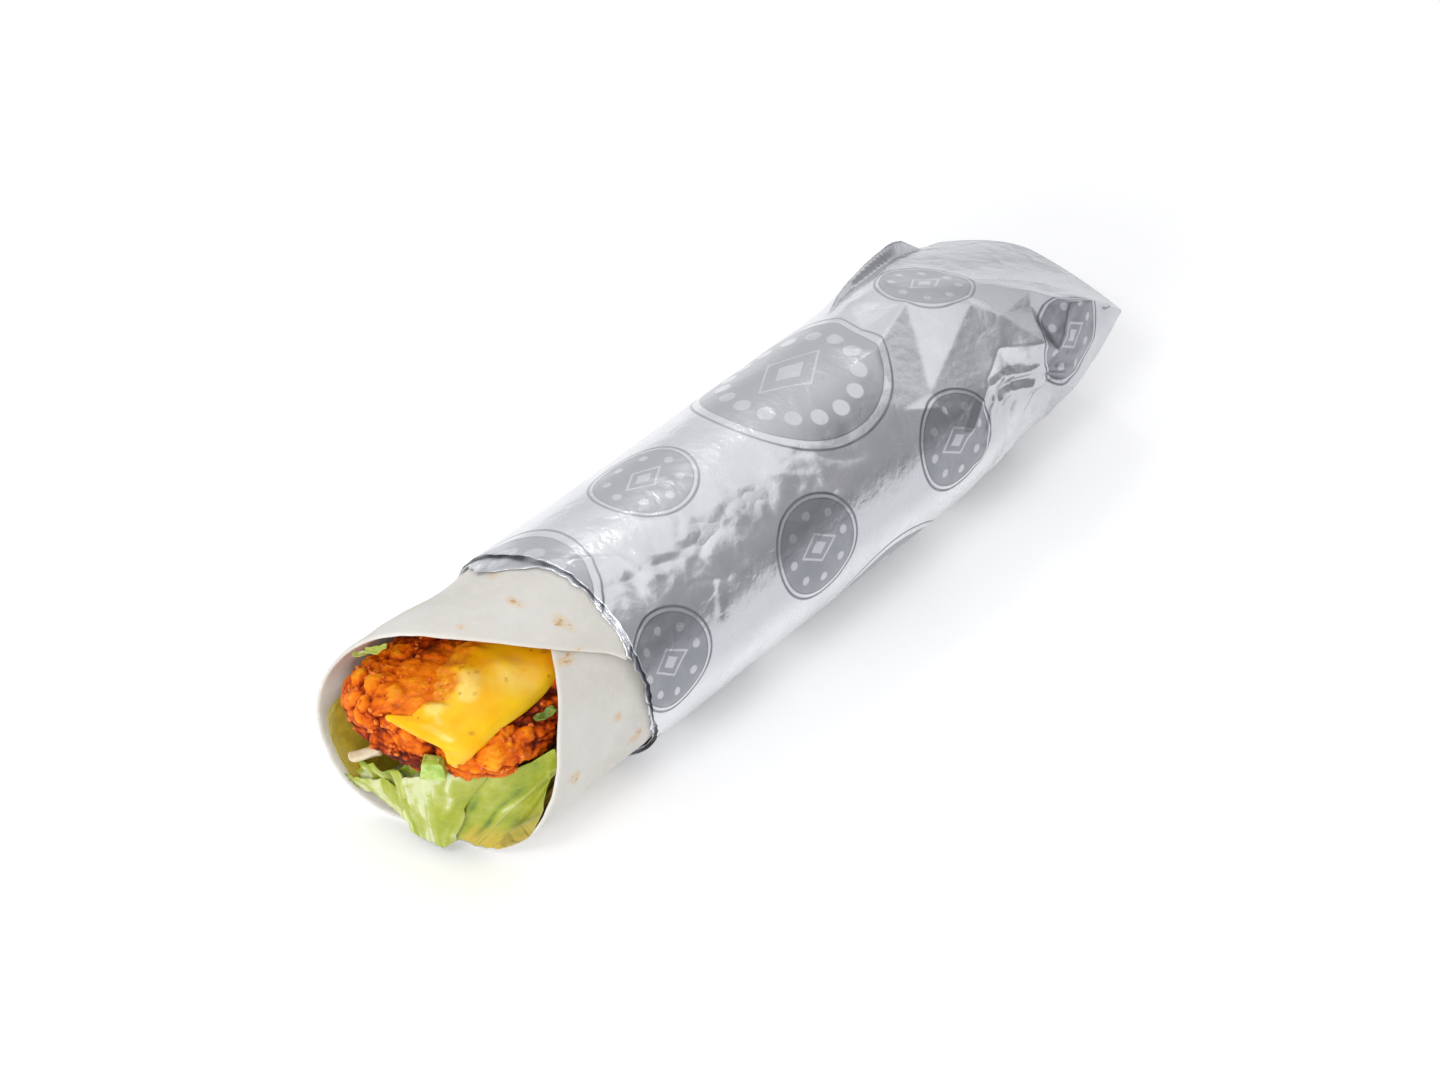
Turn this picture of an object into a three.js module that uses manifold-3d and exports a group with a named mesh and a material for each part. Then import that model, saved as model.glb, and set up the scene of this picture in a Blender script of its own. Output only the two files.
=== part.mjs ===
// A chicken wrap in its foil wrapper, lying on its side. Millimetres, +Z up.
// The wrap's long axis is Y: the open mouth looks towards -Y and the folded foil end towards +Y.
// Angles round the wrap are counted from +X towards +Z. The origin is under the middle of its box.
import * as THREE from "three";
import { mergeVertices } from "three/addons/utils/BufferGeometryUtils.js";
import Module from "manifold-3d";

const { clamp, degToRad, lerp, smoothstep } = THREE.MathUtils;

// The round of the wrap
const HALF_WIDTH = 29.7;
const HEIGHT = 57;
const MIDDLE_Z = 28.5;
const FLAT_DROP = 2.7; // how far the round would reach below the surface without its flat spot
const RIGHT_TAPER = 4.2; // the right side draws in towards the folded end
const RIDGE_TAPER = 2.2;

// The foil wrapper
const FOIL = 0.6;
const LAYER = FOIL / 2;
const RIM = { y: -65.7, leftForward: 5, lowerRightBack: 3.5 };
// The inner foil layer stands out of the rim, most at the upper left in a torn corner.
const LIP = { least: 0.6, torn: { height: 6, at: 118, width: 17 }, low: { height: 1, at: 250, width: 30 } };
const FOLD_Y = 50; // from here on the rings stand closer together
const RIDGE_Y = 121;
const RIDGE_Z = 32.5;
const RIDGE_HALF = 0.7;
const BASE_FOLD_Y = 88; // where the underside starts to rise to the ridge
const CREASE = { x: -8, y: 60, leftSlope: 0.7, rightSlope: 1.05 };
const BOW = { x: -8, left: 0.031, right: 0.0035 }; // the ridge's ends lie back from its middle
const FOIL_CAVITY_Y = 95;
const CRUMPLE = { least: 0.25, most: 1.05, from: 66, to: 108, inward: 0.2 };
const EAR = { angle: 157.5, reach: 2.6, from: 60, to: 106 }; // a pointed fold on the upper left
const GAP = 0.4;

// The tortilla
const SHEET = 1.9;
const MOUTH_FLARE = 0.7;
const DENT = { height: 1, at: -84, width: 9 }; // a shallow dent in the left side, near the foil
const FREE_EDGE = 31.5; // the upper flap's edge
const LAP = { from: 330, to: 391.5, end: 445.5 };
// How far the mouth's edge stands out of the foil, by angle along the rolled sheet
const MOUTH = [
  [31.5, -4],
  [58, 11.5],
  [81, 23.5],
  [100, 30.5],
  [126, 36.5],
  [157, 43.5],
  [190, 47.5],
  [223, 47],
  [273, 38.6],
  [305, 33.8],
  [340, 29],
  [376, 22.5],
  [398, 17],
  [418, 11.5],
  [446, 2],
];
const FOIL_FRONT_Y = -69; // the plane that MOUTH is measured from

// The chicken fillet
const CHICKEN = {
  x: -1.1,
  halfWidth: 23.8,
  halfHeight: 9.8,
  z: 34.9,
  front: -117.5,
  back: 79,
  nose: 9.5,
  power: 2.3,
  lump: 0.6,
  skew: 0.35,
  skewFrom: -8,
};

// Behind its nose the fillet is thicker by this on each side, its middle as much higher, and it
// is as much narrower.
const SWELL = { height: 0.8, from: -100, full: -60, until: 25, gone: 65 };

// The other fillings. Over the nose the cheese narrows to a tip and spreads to the left.
const CHEESE = { thick: 2.4, tip: -18.5, back: 150, left: 1.5, right: 16.4, tipLeft: 11, tipRight: 13.5 };
const CHEESE_SPREAD = 5.5;
const CHEESE_MELT = { left: 8, over: 17 }; // it has run down to the left behind the nose
const CHEESE_DEEP_RIGHT = 12;
const LETTUCE = { halfWidth: 23.8, front: -113.5, back: 82 };
const LETTUCE_EDGE = { x: -4, rightBack: 0.024, leftForward: 0.005 }; // its front edge bends at x
const LETTUCE_SLANT = 3.5; // its upper side starts this much further in
const LETTUCE_CLEARANCE = 1.2;
const SLICE_GAP = 0.55;
const CUT_GAP = 0.35;

// The fineness of the rings
const AROUND = 40;
const STEP = 360 / AROUND;

// ---------------------------------------------------------------- closed skins

function vec(x, y, z) {
  return new THREE.Vector3(x, y, z);
}

function signedVolume(positions, index) {
  const [a, b, c] = [vec(), vec(), vec()];
  let sum = 0;
  for (let i = 0; i < index.length; i += 3) {
    a.fromArray(positions, 3 * index[i]);
    b.fromArray(positions, 3 * index[i + 1]);
    c.fromArray(positions, 3 * index[i + 2]);
    sum += a.dot(b.cross(c)) / 6;
  }
  return sum;
}

// A closed skin over a row of rings that have the same even number of points.
// Each end ring is zipped shut, its point k to its point count - 1 - k.
function ringBody(rings) {
  const count = rings[0].length;
  const positions = rings.flat().flatMap((p) => p.toArray());
  const index = [];
  const quad = (a, b, c, d) => index.push(a, b, c, a, c, d);
  for (let r = 0; r + 1 < rings.length; r += 1) {
    for (let k = 0; k < count; k += 1) {
      const a = r * count + k;
      const b = r * count + ((k + 1) % count);
      quad(a, b, b + count, a + count);
    }
  }
  const last = (rings.length - 1) * count;
  for (let k = 0; k + 1 < count / 2; k += 1) {
    const m = count - 1 - k;
    quad(k + 1, k, m, m - 1);
    quad(last + k, last + k + 1, last + m - 1, last + m);
  }
  if (signedVolume(positions, index) < 0) index.reverse();
  const geometry = new THREE.BufferGeometry();
  geometry.setAttribute("position", new THREE.Float32BufferAttribute(positions, 3));
  geometry.setIndex(index);
  geometry.computeVertexNormals();
  return geometry;
}

// A sheet with two faces: face(u, v, 0) and face(u, v, 1) are its lower and upper side.
function sheetBody(columns, rows, face) {
  const rings = rows.map((v) => [
    ...columns.map((u) => face(u, v, 0)),
    ...columns.map((u) => face(u, v, 1)).reverse(),
  ]);
  return ringBody(rings);
}

function steps(from, to, count) {
  return Array.from({ length: count + 1 }, (_, i) => lerp(from, to, i / count));
}

// A bell-shaped rise round the value at
function hump(value, { height, at, width }) {
  return height * Math.exp(-(((value - at) / width) ** 2));
}

// A smooth value between the rows of a table of [place, value]
function along(table, place) {
  const last = table.length - 2;
  let i = 0;
  while (i < last && place > table[i + 1][0]) i += 1;
  const [p0, v0] = table[i];
  const [p1, v1] = table[i + 1];
  const slope = (k) => {
    const a = table[Math.max(k - 1, 0)];
    const b = table[Math.min(k + 1, last + 1)];
    return (b[1] - a[1]) / (b[0] - a[0]);
  };
  const t = clamp((place - p0) / (p1 - p0), 0, 1);
  const span = p1 - p0;
  const rise = v1 - v0;
  const c1 = span * slope(i);
  const c2 = span * slope(i + 1);
  return v0 + t * (c1 + t * (3 * rise - 2 * c1 - c2 + t * (c1 + c2 - 2 * rise)));
}

// ---------------------------------------------------------------- the round of the wrap

function rightHalfWidth(y) {
  return HALF_WIDTH - RIGHT_TAPER * smoothstep(y, 45, 95) - RIDGE_TAPER * smoothstep(y, 98, RIDGE_Y);
}

// The folded end's upper facet falls to the ridge from a crease that crosses the top at a slant.
function facetTop(x, y) {
  const slope = x < CREASE.x ? CREASE.leftSlope : CREASE.rightSlope;
  const start = CREASE.y + slope * (x - CREASE.x);
  return lerp(HEIGHT, RIDGE_Z + RIDGE_HALF, clamp((y - start) / (RIDGE_Y - start), 0, 1));
}

function facetBase(y) {
  return lerp(0, RIDGE_Z - RIDGE_HALF, clamp((y - BASE_FOLD_Y) / (RIDGE_Y - BASE_FOLD_Y), 0, 1));
}

function bow(x, y) {
  const curve = x < BOW.x ? BOW.left : BOW.right;
  return curve * (x - BOW.x) ** 2 * smoothstep(y, 60, RIDGE_Y);
}

// A point of the wrap's round, inset from its outside
function wrapPoint(degrees, y, inset) {
  const angle = degToRad(degrees);
  const c = Math.cos(angle);
  const s = Math.sin(angle);
  const width = c > 0 ? rightHalfWidth(y) : HALF_WIDTH;
  const x = (width - inset) * c;
  const middle = lerp(MIDDLE_Z, RIDGE_Z, smoothstep(y, 70, 115));
  const tall = s > 0 ? HEIGHT - middle : middle + FLAT_DROP;
  const room = s > 0 ? facetTop(x, y) - middle : middle - facetBase(y);
  const rise = Math.min((tall - inset) * Math.abs(s), room - inset);
  return vec(x, y - bow(x, y), middle + Math.sign(s) * rise);
}

// The fillings' right side draws in with the wrap's.
function drawIn(x, y) {
  return x > 0 ? (x * rightHalfWidth(y)) / HALF_WIDTH : x;
}

// ---------------------------------------------------------------- foil wrapper

function rimY(degrees) {
  const left = smoothstep(degrees, 75, 125) * (1 - smoothstep(degrees, 235, 290));
  const lowerRight = smoothstep(degrees, 285, 325) * (1 - smoothstep(degrees, 330, 365));
  return RIM.y - RIM.leftForward * left + RIM.lowerRightBack * lowerRight;
}

function lip(degrees) {
  return LIP.least + hump(degrees, LIP.torn) + hump(degrees, LIP.low);
}

// Small dents and swellings, larger at the folded end. Over the hollow they hardly go inwards.
function crumple(degrees, y) {
  const angle = degToRad(degrees);
  const size = lerp(CRUMPLE.least, CRUMPLE.most, smoothstep(y, CRUMPLE.from, CRUMPLE.to));
  const wave = Math.sin(5 * angle + 0.16 * y) * Math.sin(0.21 * y - 2 * angle);
  const floor = y < FOIL_CAVITY_Y + 2 ? -CRUMPLE.inward : -size;
  const clear = smoothstep(Math.sin(angle), -0.8, -0.3) * smoothstep(RIDGE_Y - y, 0, 8);
  return Math.max(floor, size * wave) * clear;
}

function ear(degrees, y) {
  const near = Math.max(0, 1 - Math.abs(degrees - EAR.angle) / STEP);
  return EAR.reach * near * smoothstep(y, EAR.from, EAR.from + 12) * (1 - smoothstep(y, EAR.to - 14, EAR.to));
}

function foilGeometry() {
  const angles = Array.from({ length: AROUND }, (_, k) => STEP * (k + 0.5));
  const body = [...steps(-56, FOLD_Y, 8), ...steps(FOLD_Y + 5, RIDGE_Y, 16)];
  const hollow = [...HOLLOW_ROWS, FOIL_CAVITY_Y].reverse();
  const outer = (y) => angles.map((a) => {
    const out = crumple(a, y) + ear(a, y);
    const p = wrapPoint(a, y, 0);
    p.x += out * Math.cos(degToRad(a));
    p.z += out * Math.sin(degToRad(a));
    return p;
  });
  return ringBody([
    ...hollow.map((y) => angles.map((a) => wrapPoint(a, y, FOIL))),
    angles.map((a) => wrapPoint(a, rimY(a) - lip(a), FOIL)),
    angles.map((a) => wrapPoint(a, rimY(a) - lip(a), LAYER)),
    angles.map((a) => wrapPoint(a, rimY(a), LAYER)),
    angles.map((a) => wrapPoint(a, rimY(a), 0)),
    ...body.map(outer),
  ]);
}

// ---------------------------------------------------------------- tortilla

const HOLLOW_ROWS = [-48, -10, 28, ...steps(FOLD_Y, 92, 7)];

function lapInset(roll) {
  return (SHEET + GAP) * smoothstep(roll, LAP.from, LAP.to);
}

function mouthY(roll) {
  return FOIL_FRONT_Y - along(MOUTH, roll);
}

// The bare tortilla swells a little past the foil, but for a shallow dent at its upper left.
function flare(degrees, y) {
  const left = smoothstep(-Math.cos(degToRad(degrees)), 0.1, 0.7);
  return MOUTH_FLARE * smoothstep(-y, 72, 100) * (1 + 0.5 * left) - left * hump(y, DENT);
}

// A point of the rolled sheet: roll is the angle along the sheet, depth 0 its outer side
function tortillaPoint(roll, y, depth) {
  return wrapPoint(roll, y, FOIL + GAP + lapInset(roll) + depth * SHEET - flare(roll, y));
}

function tortillaGeometry() {
  const rolls = steps(FREE_EDGE, LAP.end, Math.round((LAP.end - FREE_EDGE) / STEP));
  const mouthRows = [0, 0.04, 0.3, 0.65];
  const rows = [...mouthRows, ...HOLLOW_ROWS];
  const place = (roll, row) => (row < 1 && row >= 0 ? lerp(mouthY(roll), HOLLOW_ROWS[0], row) : row);
  return sheetBody(rolls, rows, (roll, row, side) => tortillaPoint(roll, place(roll, row), 1 - side));
}

// ---------------------------------------------------------------- chicken fillet

// How full the fillet's section is, this far behind its tip: 0 at the tip, 1 from the nose's length on
function fullness(behind, nose) {
  const open = clamp(1 - behind / nose, 0, 1) ** 1.25;
  return Math.sqrt(1 - open * open) ** 0.45;
}

function skew(x, y) {
  return CHICKEN.skew * Math.max(0, x - CHICKEN.skewFrom) * (1 - smoothstep(y, -95, -20));
}

function swell(y) {
  const { height, from, full, until, gone } = SWELL;
  return height * smoothstep(y, from, full) * (1 - smoothstep(y, until, gone));
}

function chickenWide(y) {
  return CHICKEN.halfWidth - swell(y);
}

function chickenScale(y) {
  const front = fullness(y - CHICKEN.front, CHICKEN.nose);
  return Math.min(front, fullness(CHICKEN.back - y, CHICKEN.nose));
}

function lumps(degrees, y) {
  const a = degToRad(degrees);
  return CHICKEN.lump * Math.sin(6 * a + 0.31 * y) * Math.sin(0.23 * y - 2 * a);
}

function chickenGeometry() {
  const count = 24;
  const angles = Array.from({ length: count }, (_, k) => (360 / count) * (k + 0.5));
  const nose = [0.4, 2, 4.5, 7.5, CHICKEN.nose];
  const rows = [
    ...nose.map((d) => CHICKEN.front + d),
    ...steps(CHICKEN.front + 24, CHICKEN.back - 24, 11),
    ...nose.map((d) => CHICKEN.back - d).reverse(),
  ];
  const round = (v) => Math.sign(v) * Math.abs(v) ** (2 / CHICKEN.power);
  return ringBody(rows.map((y) => angles.map((a) => {
    const scale = chickenScale(y);
    const lump = lumps(a, y) * scale;
    const x = CHICKEN.x + (chickenWide(y) * scale + lump) * round(Math.cos(degToRad(a)));
    const tall = (CHICKEN.halfHeight + swell(y)) * scale;
    const z = CHICKEN.z + swell(y) + (tall + lump) * round(Math.sin(degToRad(a)));
    return vec(drawIn(x, y), y + skew(x, y), z);
  })));
}

// Half the fillet's thickness at x, without its lumps
function chickenHalf(x, y, scale = chickenScale(y)) {
  const p = CHICKEN.power;
  const rest = scale ** p - Math.abs((x - CHICKEN.x) / chickenWide(y)) ** p;
  return (CHICKEN.halfHeight + swell(y)) * Math.max(rest, 0) ** (1 / p);
}

// How far the fillet reaches in the plane of x from the middle of its nose, in a direction
// that is 90 degrees straight up and 0 degrees straight ahead
function noseReach(x, degrees) {
  const c = Math.cos(degToRad(degrees));
  const s = Math.sin(degToRad(degrees));
  let [low, high] = [0, 2 * CHICKEN.nose];
  for (let i = 0; i < 24; i += 1) {
    const r = (low + high) / 2;
    const y = CHICKEN.front + CHICKEN.nose - r * c;
    if (Math.abs(r * s) < chickenHalf(x, y)) low = r;
    else high = r;
  }
  return low;
}

// ---------------------------------------------------------------- cheese slice

const CHEESE_ROOM = CHICKEN.lump + 0.3;
const CHEESE_TURN = 4.9; // degrees of the turn over the nose for each millimetre of cheese

// A point of the cheese: place runs back from the nose's top, and is negative over the nose
function cheesePoint(x, place, side) {
  const lift = CHEESE_ROOM + side * CHEESE.thick;
  const centre = CHICKEN.front + CHICKEN.nose;
  if (place >= 0) {
    const y = centre + place;
    return vec(drawIn(x, y), y + skew(x, y), CHICKEN.z + swell(y) + chickenHalf(x, y) + lift);
  }
  const degrees = 90 + place * CHEESE_TURN;
  const r = noseReach(x, degrees) + lift;
  const y = centre - r * Math.cos(degToRad(degrees));
  return vec(x, y + skew(x, y), CHICKEN.z + r * Math.sin(degToRad(degrees)));
}

function cheeseGeometry() {
  const rows = [CHEESE.tip, -17.5, -15.5, -13, -10.5, -7.5, -4, 0, 6, 14, ...steps(28, CHEESE.back, 5)];
  const right = (place) => {
    const front = lerp(CHEESE.tipRight, CHEESE.right, smoothstep(place, CHEESE.tip - 8, -2));
    return lerp(front, CHEESE_DEEP_RIGHT, smoothstep(place, 14, 42));
  };
  const left = (place) => {
    const open = smoothstep(place, CHEESE.tip, -12);
    const melted = CHEESE_MELT.left * smoothstep(place, 0, CHEESE_MELT.over);
    const spread = CHEESE_SPREAD * smoothstep(-place, 0, 13);
    return lerp(CHEESE.tipLeft, CHEESE.left - spread - melted, open);
  };
  return sheetBody(steps(0, 1, 10), rows, (u, place, side) =>
    cheesePoint(lerp(left(place), right(place), u), place, side));
}

// ---------------------------------------------------------------- slices, strip and dice

// A slice that lies along the inside of the tortilla
function wallSlice({ angle, span, front, back, thick }, grow) {
  const depth = thick + 2 * grow;
  const inset = FOIL + GAP + SHEET + SLICE_GAP - grow;
  const rows = [-1, -0.8, -0.45, 0, 0.45, 0.8, 1];
  return sheetBody(steps(-1, 1, 8), rows, (u, v, side) => {
    const half = (span / 2) * Math.sqrt(1 - 0.7 * v * v) + grow * 2;
    const y = lerp(front - grow, back + grow, (v + 1) / 2);
    const bulge = side * depth * (1 - 0.35 * u * u);
    const at = angle + u * half;
    return wrapPoint(at, y, inset + lapInset(at) + bulge - flare(at, y));
  });
}

const PICKLES = {
  pickle_left: { angle: 205, span: 44, front: -115.5, back: -84, thick: 3.6 },
  pickle_right: { angle: 315, span: 66, front: -103, back: -52, thick: 3 },
};

// A bent bar of rounded section from one point to another
function bar({ from, to, sag, wide, thick }, grow) {
  const path = new THREE.QuadraticBezierCurve3(
    from,
    from.clone().lerp(to, 0.5).add(vec(0, 0, -sag)),
    to,
  );
  const across = vec(1, 0, 0).cross(to.clone().sub(from)).normalize();
  const side = to.clone().sub(from).normalize().cross(across);
  return ringBody(steps(0, 1, 6).map((t) => Array.from({ length: 8 }, (_, k) => {
    const a = degToRad(45 * (k + 0.5));
    const end = 1 - 0.25 * (2 * t - 1) ** 4;
    return path.getPoint(t)
      .addScaledVector(side, (wide / 2 + grow) * end * Math.cos(a))
      .addScaledVector(across, (thick / 2 + grow) * end * Math.sin(a));
  })));
}

const ONION = {
  from: vec(-20.5, -118.5, 17),
  to: vec(-13.5, -107.5, 19),
  sag: 1.5,
  wide: 3.6,
  thick: 2.4,
};

const DICE = { at: vec(8.4, -116.6, 33), size: vec(6.2, 3.4, 5), turn: 12 };

function diceGeometry(grow) {
  const geometry = new THREE.BoxGeometry(
    DICE.size.x + 2 * grow,
    DICE.size.y + 2 * grow,
    DICE.size.z + 2 * grow,
  );
  const corner = geometry.getAttribute("position");
  for (let i = 0; i < corner.count; i += 1) {
    const narrow = corner.getZ(i) > 0 ? 0.8 : 1;
    corner.setX(i, corner.getX(i) * narrow);
  }
  return geometry.rotateZ(degToRad(DICE.turn)).translate(...DICE.at);
}

// ---------------------------------------------------------------- lettuce

function lettuceGeometry() {
  const rows = [0, 0.02, 0.06, ...steps(0.14, 0.93, 7), 0.98, 1];
  const columns = steps(-1, 1, 14);
  const wall = FOIL + GAP + SHEET + 2 * GAP;
  return sheetBody(columns, rows, (u, v, side) => {
    const x = LETTUCE.halfWidth * u;
    const bend = x > LETTUCE_EDGE.x ? LETTUCE_EDGE.rightBack : -LETTUCE_EDGE.leftForward;
    const front = LETTUCE.front + bend * (x - LETTUCE_EDGE.x) ** 2 + LETTUCE_SLANT * side;
    const y = lerp(front, LETTUCE.back, v);
    const end = v < 0.1 ? 1 - 0.22 * (1 - v / 0.1) ** 2 : 1;
    const floor = wrapPoint(270, y, wall);
    const a = HALF_WIDTH - wall;
    const b = MIDDLE_Z + FLAT_DROP - wall;
    const low = Math.max(floor.z, MIDDLE_Z - b * Math.sqrt(1 - (x / a) ** 2));
    const wave = 0.5 * Math.sin(0.9 * x + 0.35 * y);
    const underside = CHICKEN.z + swell(y) - chickenHalf(x, y, 1);
    const high = underside - CHICKEN.lump - LETTUCE_CLEARANCE + wave;
    const middle = (low + high) / 2;
    return vec(drawIn(x, y), y, lerp(middle, side ? high : low, end));
  });
}

// ---------------------------------------------------------------- cuts

const wasm = await Module();
wasm.setup();

function solid(geometry) {
  const bare = new THREE.BufferGeometry();
  bare.setAttribute("position", geometry.getAttribute("position"));
  bare.setIndex(geometry.index);
  const merged = mergeVertices(bare);
  return new wasm.Manifold(new wasm.Mesh({
    numProp: 3,
    vertProperties: new Float32Array(merged.getAttribute("position").array),
    triVerts: new Uint32Array(merged.index.array),
  }));
}

function cut(geometry, tools) {
  const left = tools.reduce((body, tool) => body.subtract(solid(tool)), solid(geometry));
  const mesh = left.getMesh();
  const result = new THREE.BufferGeometry();
  result.setAttribute("position", new THREE.Float32BufferAttribute(mesh.vertProperties, 3));
  result.setIndex(new THREE.BufferAttribute(mesh.triVerts, 1));
  result.computeVertexNormals();
  return result;
}

// ---------------------------------------------------------------- the wrap

const wrap = new THREE.Group();
wrap.name = "chicken_wrap";

function add(name, geometry, colour, roughness, metalness = 0) {
  const material = new THREE.MeshStandardMaterial({ color: colour, roughness, metalness });
  const mesh = new THREE.Mesh(geometry, material);
  mesh.name = name;
  wrap.add(mesh);
}

const lettuceTools = [
  ...Object.values(PICKLES).map((slice) => wallSlice(slice, CUT_GAP)),
  bar(ONION, CUT_GAP),
  diceGeometry(CUT_GAP),
];

add("foil_wrap", foilGeometry(), 0xc9ccd2, 0.35, 0.9);
add("tortilla", tortillaGeometry(), 0xdedcd4, 0.8);
add("chicken_fillet", chickenGeometry(), 0xd4661a, 0.7);
add("cheese_slice", cheeseGeometry(), 0xf6b51e, 0.35);
add("lettuce", cut(lettuceGeometry(), lettuceTools), 0xb4cd74, 0.5);
add("pickle_left", wallSlice(PICKLES.pickle_left, 0), 0xa88f3c, 0.4);
add("pickle_right", wallSlice(PICKLES.pickle_right, 0), 0xb29a3e, 0.4);
add("onion_strip", bar(ONION, 0), 0xe0cfb0, 0.5);
add("lettuce_dice", diceGeometry(0), 0x94bd52, 0.5);

// The origin goes under the middle of the whole.
const box = new THREE.Box3().setFromObject(wrap);
const centre = box.getCenter(vec());
wrap.children.forEach((mesh) => mesh.geometry.translate(-centre.x, -centre.y, -box.min.z));

export default wrap;
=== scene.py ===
# A chicken wrap in its foil wrapper, lying on its side with its open mouth towards -Y.
# Forms are worked out in millimetres in the wrap's own frame: its long axis is Y, and angles are
# degrees round that axis from +X towards +Z. placed() turns them into metres in the shared frame.
import itertools
import math
import random

import bpy
import numpy as np
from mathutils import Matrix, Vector
from mathutils.geometry import delaunay_2d_cdt


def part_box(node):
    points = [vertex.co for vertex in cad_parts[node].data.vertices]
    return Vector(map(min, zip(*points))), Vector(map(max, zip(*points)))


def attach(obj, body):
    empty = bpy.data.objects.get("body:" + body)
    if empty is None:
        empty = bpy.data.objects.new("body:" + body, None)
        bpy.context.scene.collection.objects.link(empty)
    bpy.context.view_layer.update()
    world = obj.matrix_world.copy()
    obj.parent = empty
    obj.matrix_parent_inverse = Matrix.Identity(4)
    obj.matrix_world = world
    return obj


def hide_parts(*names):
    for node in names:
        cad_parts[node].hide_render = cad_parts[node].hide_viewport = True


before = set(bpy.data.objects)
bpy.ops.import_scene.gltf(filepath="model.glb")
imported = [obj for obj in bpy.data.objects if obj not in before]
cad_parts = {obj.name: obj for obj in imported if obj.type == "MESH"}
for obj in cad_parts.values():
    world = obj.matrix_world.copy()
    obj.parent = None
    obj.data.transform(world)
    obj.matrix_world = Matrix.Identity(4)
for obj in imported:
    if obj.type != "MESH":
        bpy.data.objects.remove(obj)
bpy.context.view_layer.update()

# ---------------------------------------------------------------- driving sizes, in millimetres

MM = 0.001
RIDGE_Y = 121.0
WRAP_X = 0.185  # the wrap's own axis lies this far right of the frame's origin
WRAP_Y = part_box("foil_wrap")[1].y / MM - RIDGE_Y

# The round of the wrap
HALF_WIDTH = 29.7
HEIGHT = 57.0
MIDDLE_Z = 28.5
FLAT_DROP = 2.7
RIGHT_TAPER = 4.2
RIDGE_TAPER = 2.2
RIDGE_Z = 32.5
RIDGE_HALF = 0.5
BASE_FOLD_Y = 88.0
CREASE_X, CREASE_Y, CREASE_LEFT, CREASE_RIGHT = -8.0, 60.0, 0.7, 1.05
BOW_X, BOW_LEFT, BOW_RIGHT = -8.0, 0.031, 0.0035

# The foil wrapper
FOIL = 0.6
RIM_Y, RIM_OUT, RIM_BACK = -65.7, 5.0, 3.5
SEAM = 212.0  # the wrapper's overlap lies along this angle, low on the left
CAVITY_Y = 95.0
INNER_Y = -48.0  # from here to the rim the foil's inner layer and the tortilla follow their edges

# The tortilla
GAP = 0.4
SHEET = 1.9
FREE_EDGE, LAP_FROM, LAP_TO, LAP_END = 31.5, 330.0, 391.5, 445.5
MOUTH_Y = -69.0
MOUTH = [
    (31.5, -4), (58, 11.5), (81, 23.5), (100, 30.5), (126, 36.5), (157, 43.5), (190, 47.5),
    (223, 47), (273, 38.6), (305, 33.8), (340, 29), (376, 22.5), (398, 17), (418, 11.5), (446, 2),
]

# The chicken fillet
FILLET_X, FILLET_Z, FILLET_WIDE, FILLET_TALL = -1.1, 34.9, 23.8, 9.8
FILLET_FRONT, FILLET_BACK, FILLET_NOSE, FILLET_POWER = -117.5, 79.0, 9.5, 2.3
SKEW, SKEW_FROM = 0.35, -8.0

# The other fillings
CHEESE_THICK, CHEESE_TIP, CHEESE_BACK = 1.9, -20.6, 60.0
CHEESE_LEFT = [
    (-20.6, 11.8), (-19, 10.8), (-15.2, 9.2), (-13.2, 7.2), (-12.6, 3.2), (-11.6, -1.5),
    (-10.8, -4.6), (-9.5, -4.2), (-8.2, -1), (-3, 0.0), (2.8, -2.2), (9.2, -5), (17, -6.5),
    (60, -6.5),
]
CHEESE_RIGHT = [
    (-20.6, 12.8), (-14, 15.4), (-10, 16.6), (2, 16.9), (14, 16.2), (30, 13.5), (60, 12),
]
LETTUCE_WIDE, LETTUCE_FRONT, LETTUCE_BACK = 23.8, -113.5, 82.0

# The room inside the tortilla's wall
WALL = FOIL + GAP + SHEET
WALL_WIDE = HALF_WIDTH - WALL - GAP
WALL_DEEP = MIDDLE_Z + FLAT_DROP - WALL - GAP

# ---------------------------------------------------------------- numbers and noise


def rise(value, low, high):
    """From 0 to 1, smoothly, while the value goes from low to high."""
    t = np.clip((value - low) / (high - low), 0, 1)
    return t * t * (3 - 2 * t)


def fall(value, low, high):
    return 1 - rise(value, low, high)


def lerp(a, b, t):
    return a + (b - a) * t


def hump(value, at, width):
    return np.exp(-(((value - at) / width) ** 2))


def cos(degrees):
    return np.cos(np.radians(degrees))


def sin(degrees):
    return np.sin(np.radians(degrees))


def signed(degrees):
    """An angle from -180 to 180."""
    return (degrees + 180) % 360 - 180


def points(x, y, z):
    return np.stack(np.broadcast_arrays(x, y, z), -1).astype(float)


def spun(x, y, z, degrees):
    """Points turned round Z."""
    c, s = cos(degrees), sin(degrees)
    return points(x * c - y * s, x * s + y * c, z)


def placed(at):
    return (np.asarray(at, float) + (WRAP_X, WRAP_Y, 0)) * MM


def scattered(cells, seed):
    """A random number from 0 to 1 for each whole-numbered cell."""
    n = cells.astype(np.int64)
    mixed = n[..., 0] * 374761393 + n[..., 1] * 668265263 + n[..., 2] * 1103515245 + seed * 362437
    mixed = (mixed ^ (mixed >> 13)) * 1274126177
    return ((mixed ^ (mixed >> 16)) & 0xFFFFFF) / 0xFFFFFF


def waves(at, size, seed):
    """Smooth noise from -1 to 1 whose lumps are about size across."""
    place = at / size
    base = np.floor(place)
    t = place - base
    t = t * t * (3 - 2 * t)
    total = 0
    for corner in itertools.product((0, 1), repeat=3):
        weight = np.prod(np.where(corner, t, 1 - t), axis=-1)
        total = total + weight * scattered(base + corner, seed)
    return 2 * total - 1


def wave(size, seed, x, y=0, z=0):
    return waves(points(x, y, z), size, seed)


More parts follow.
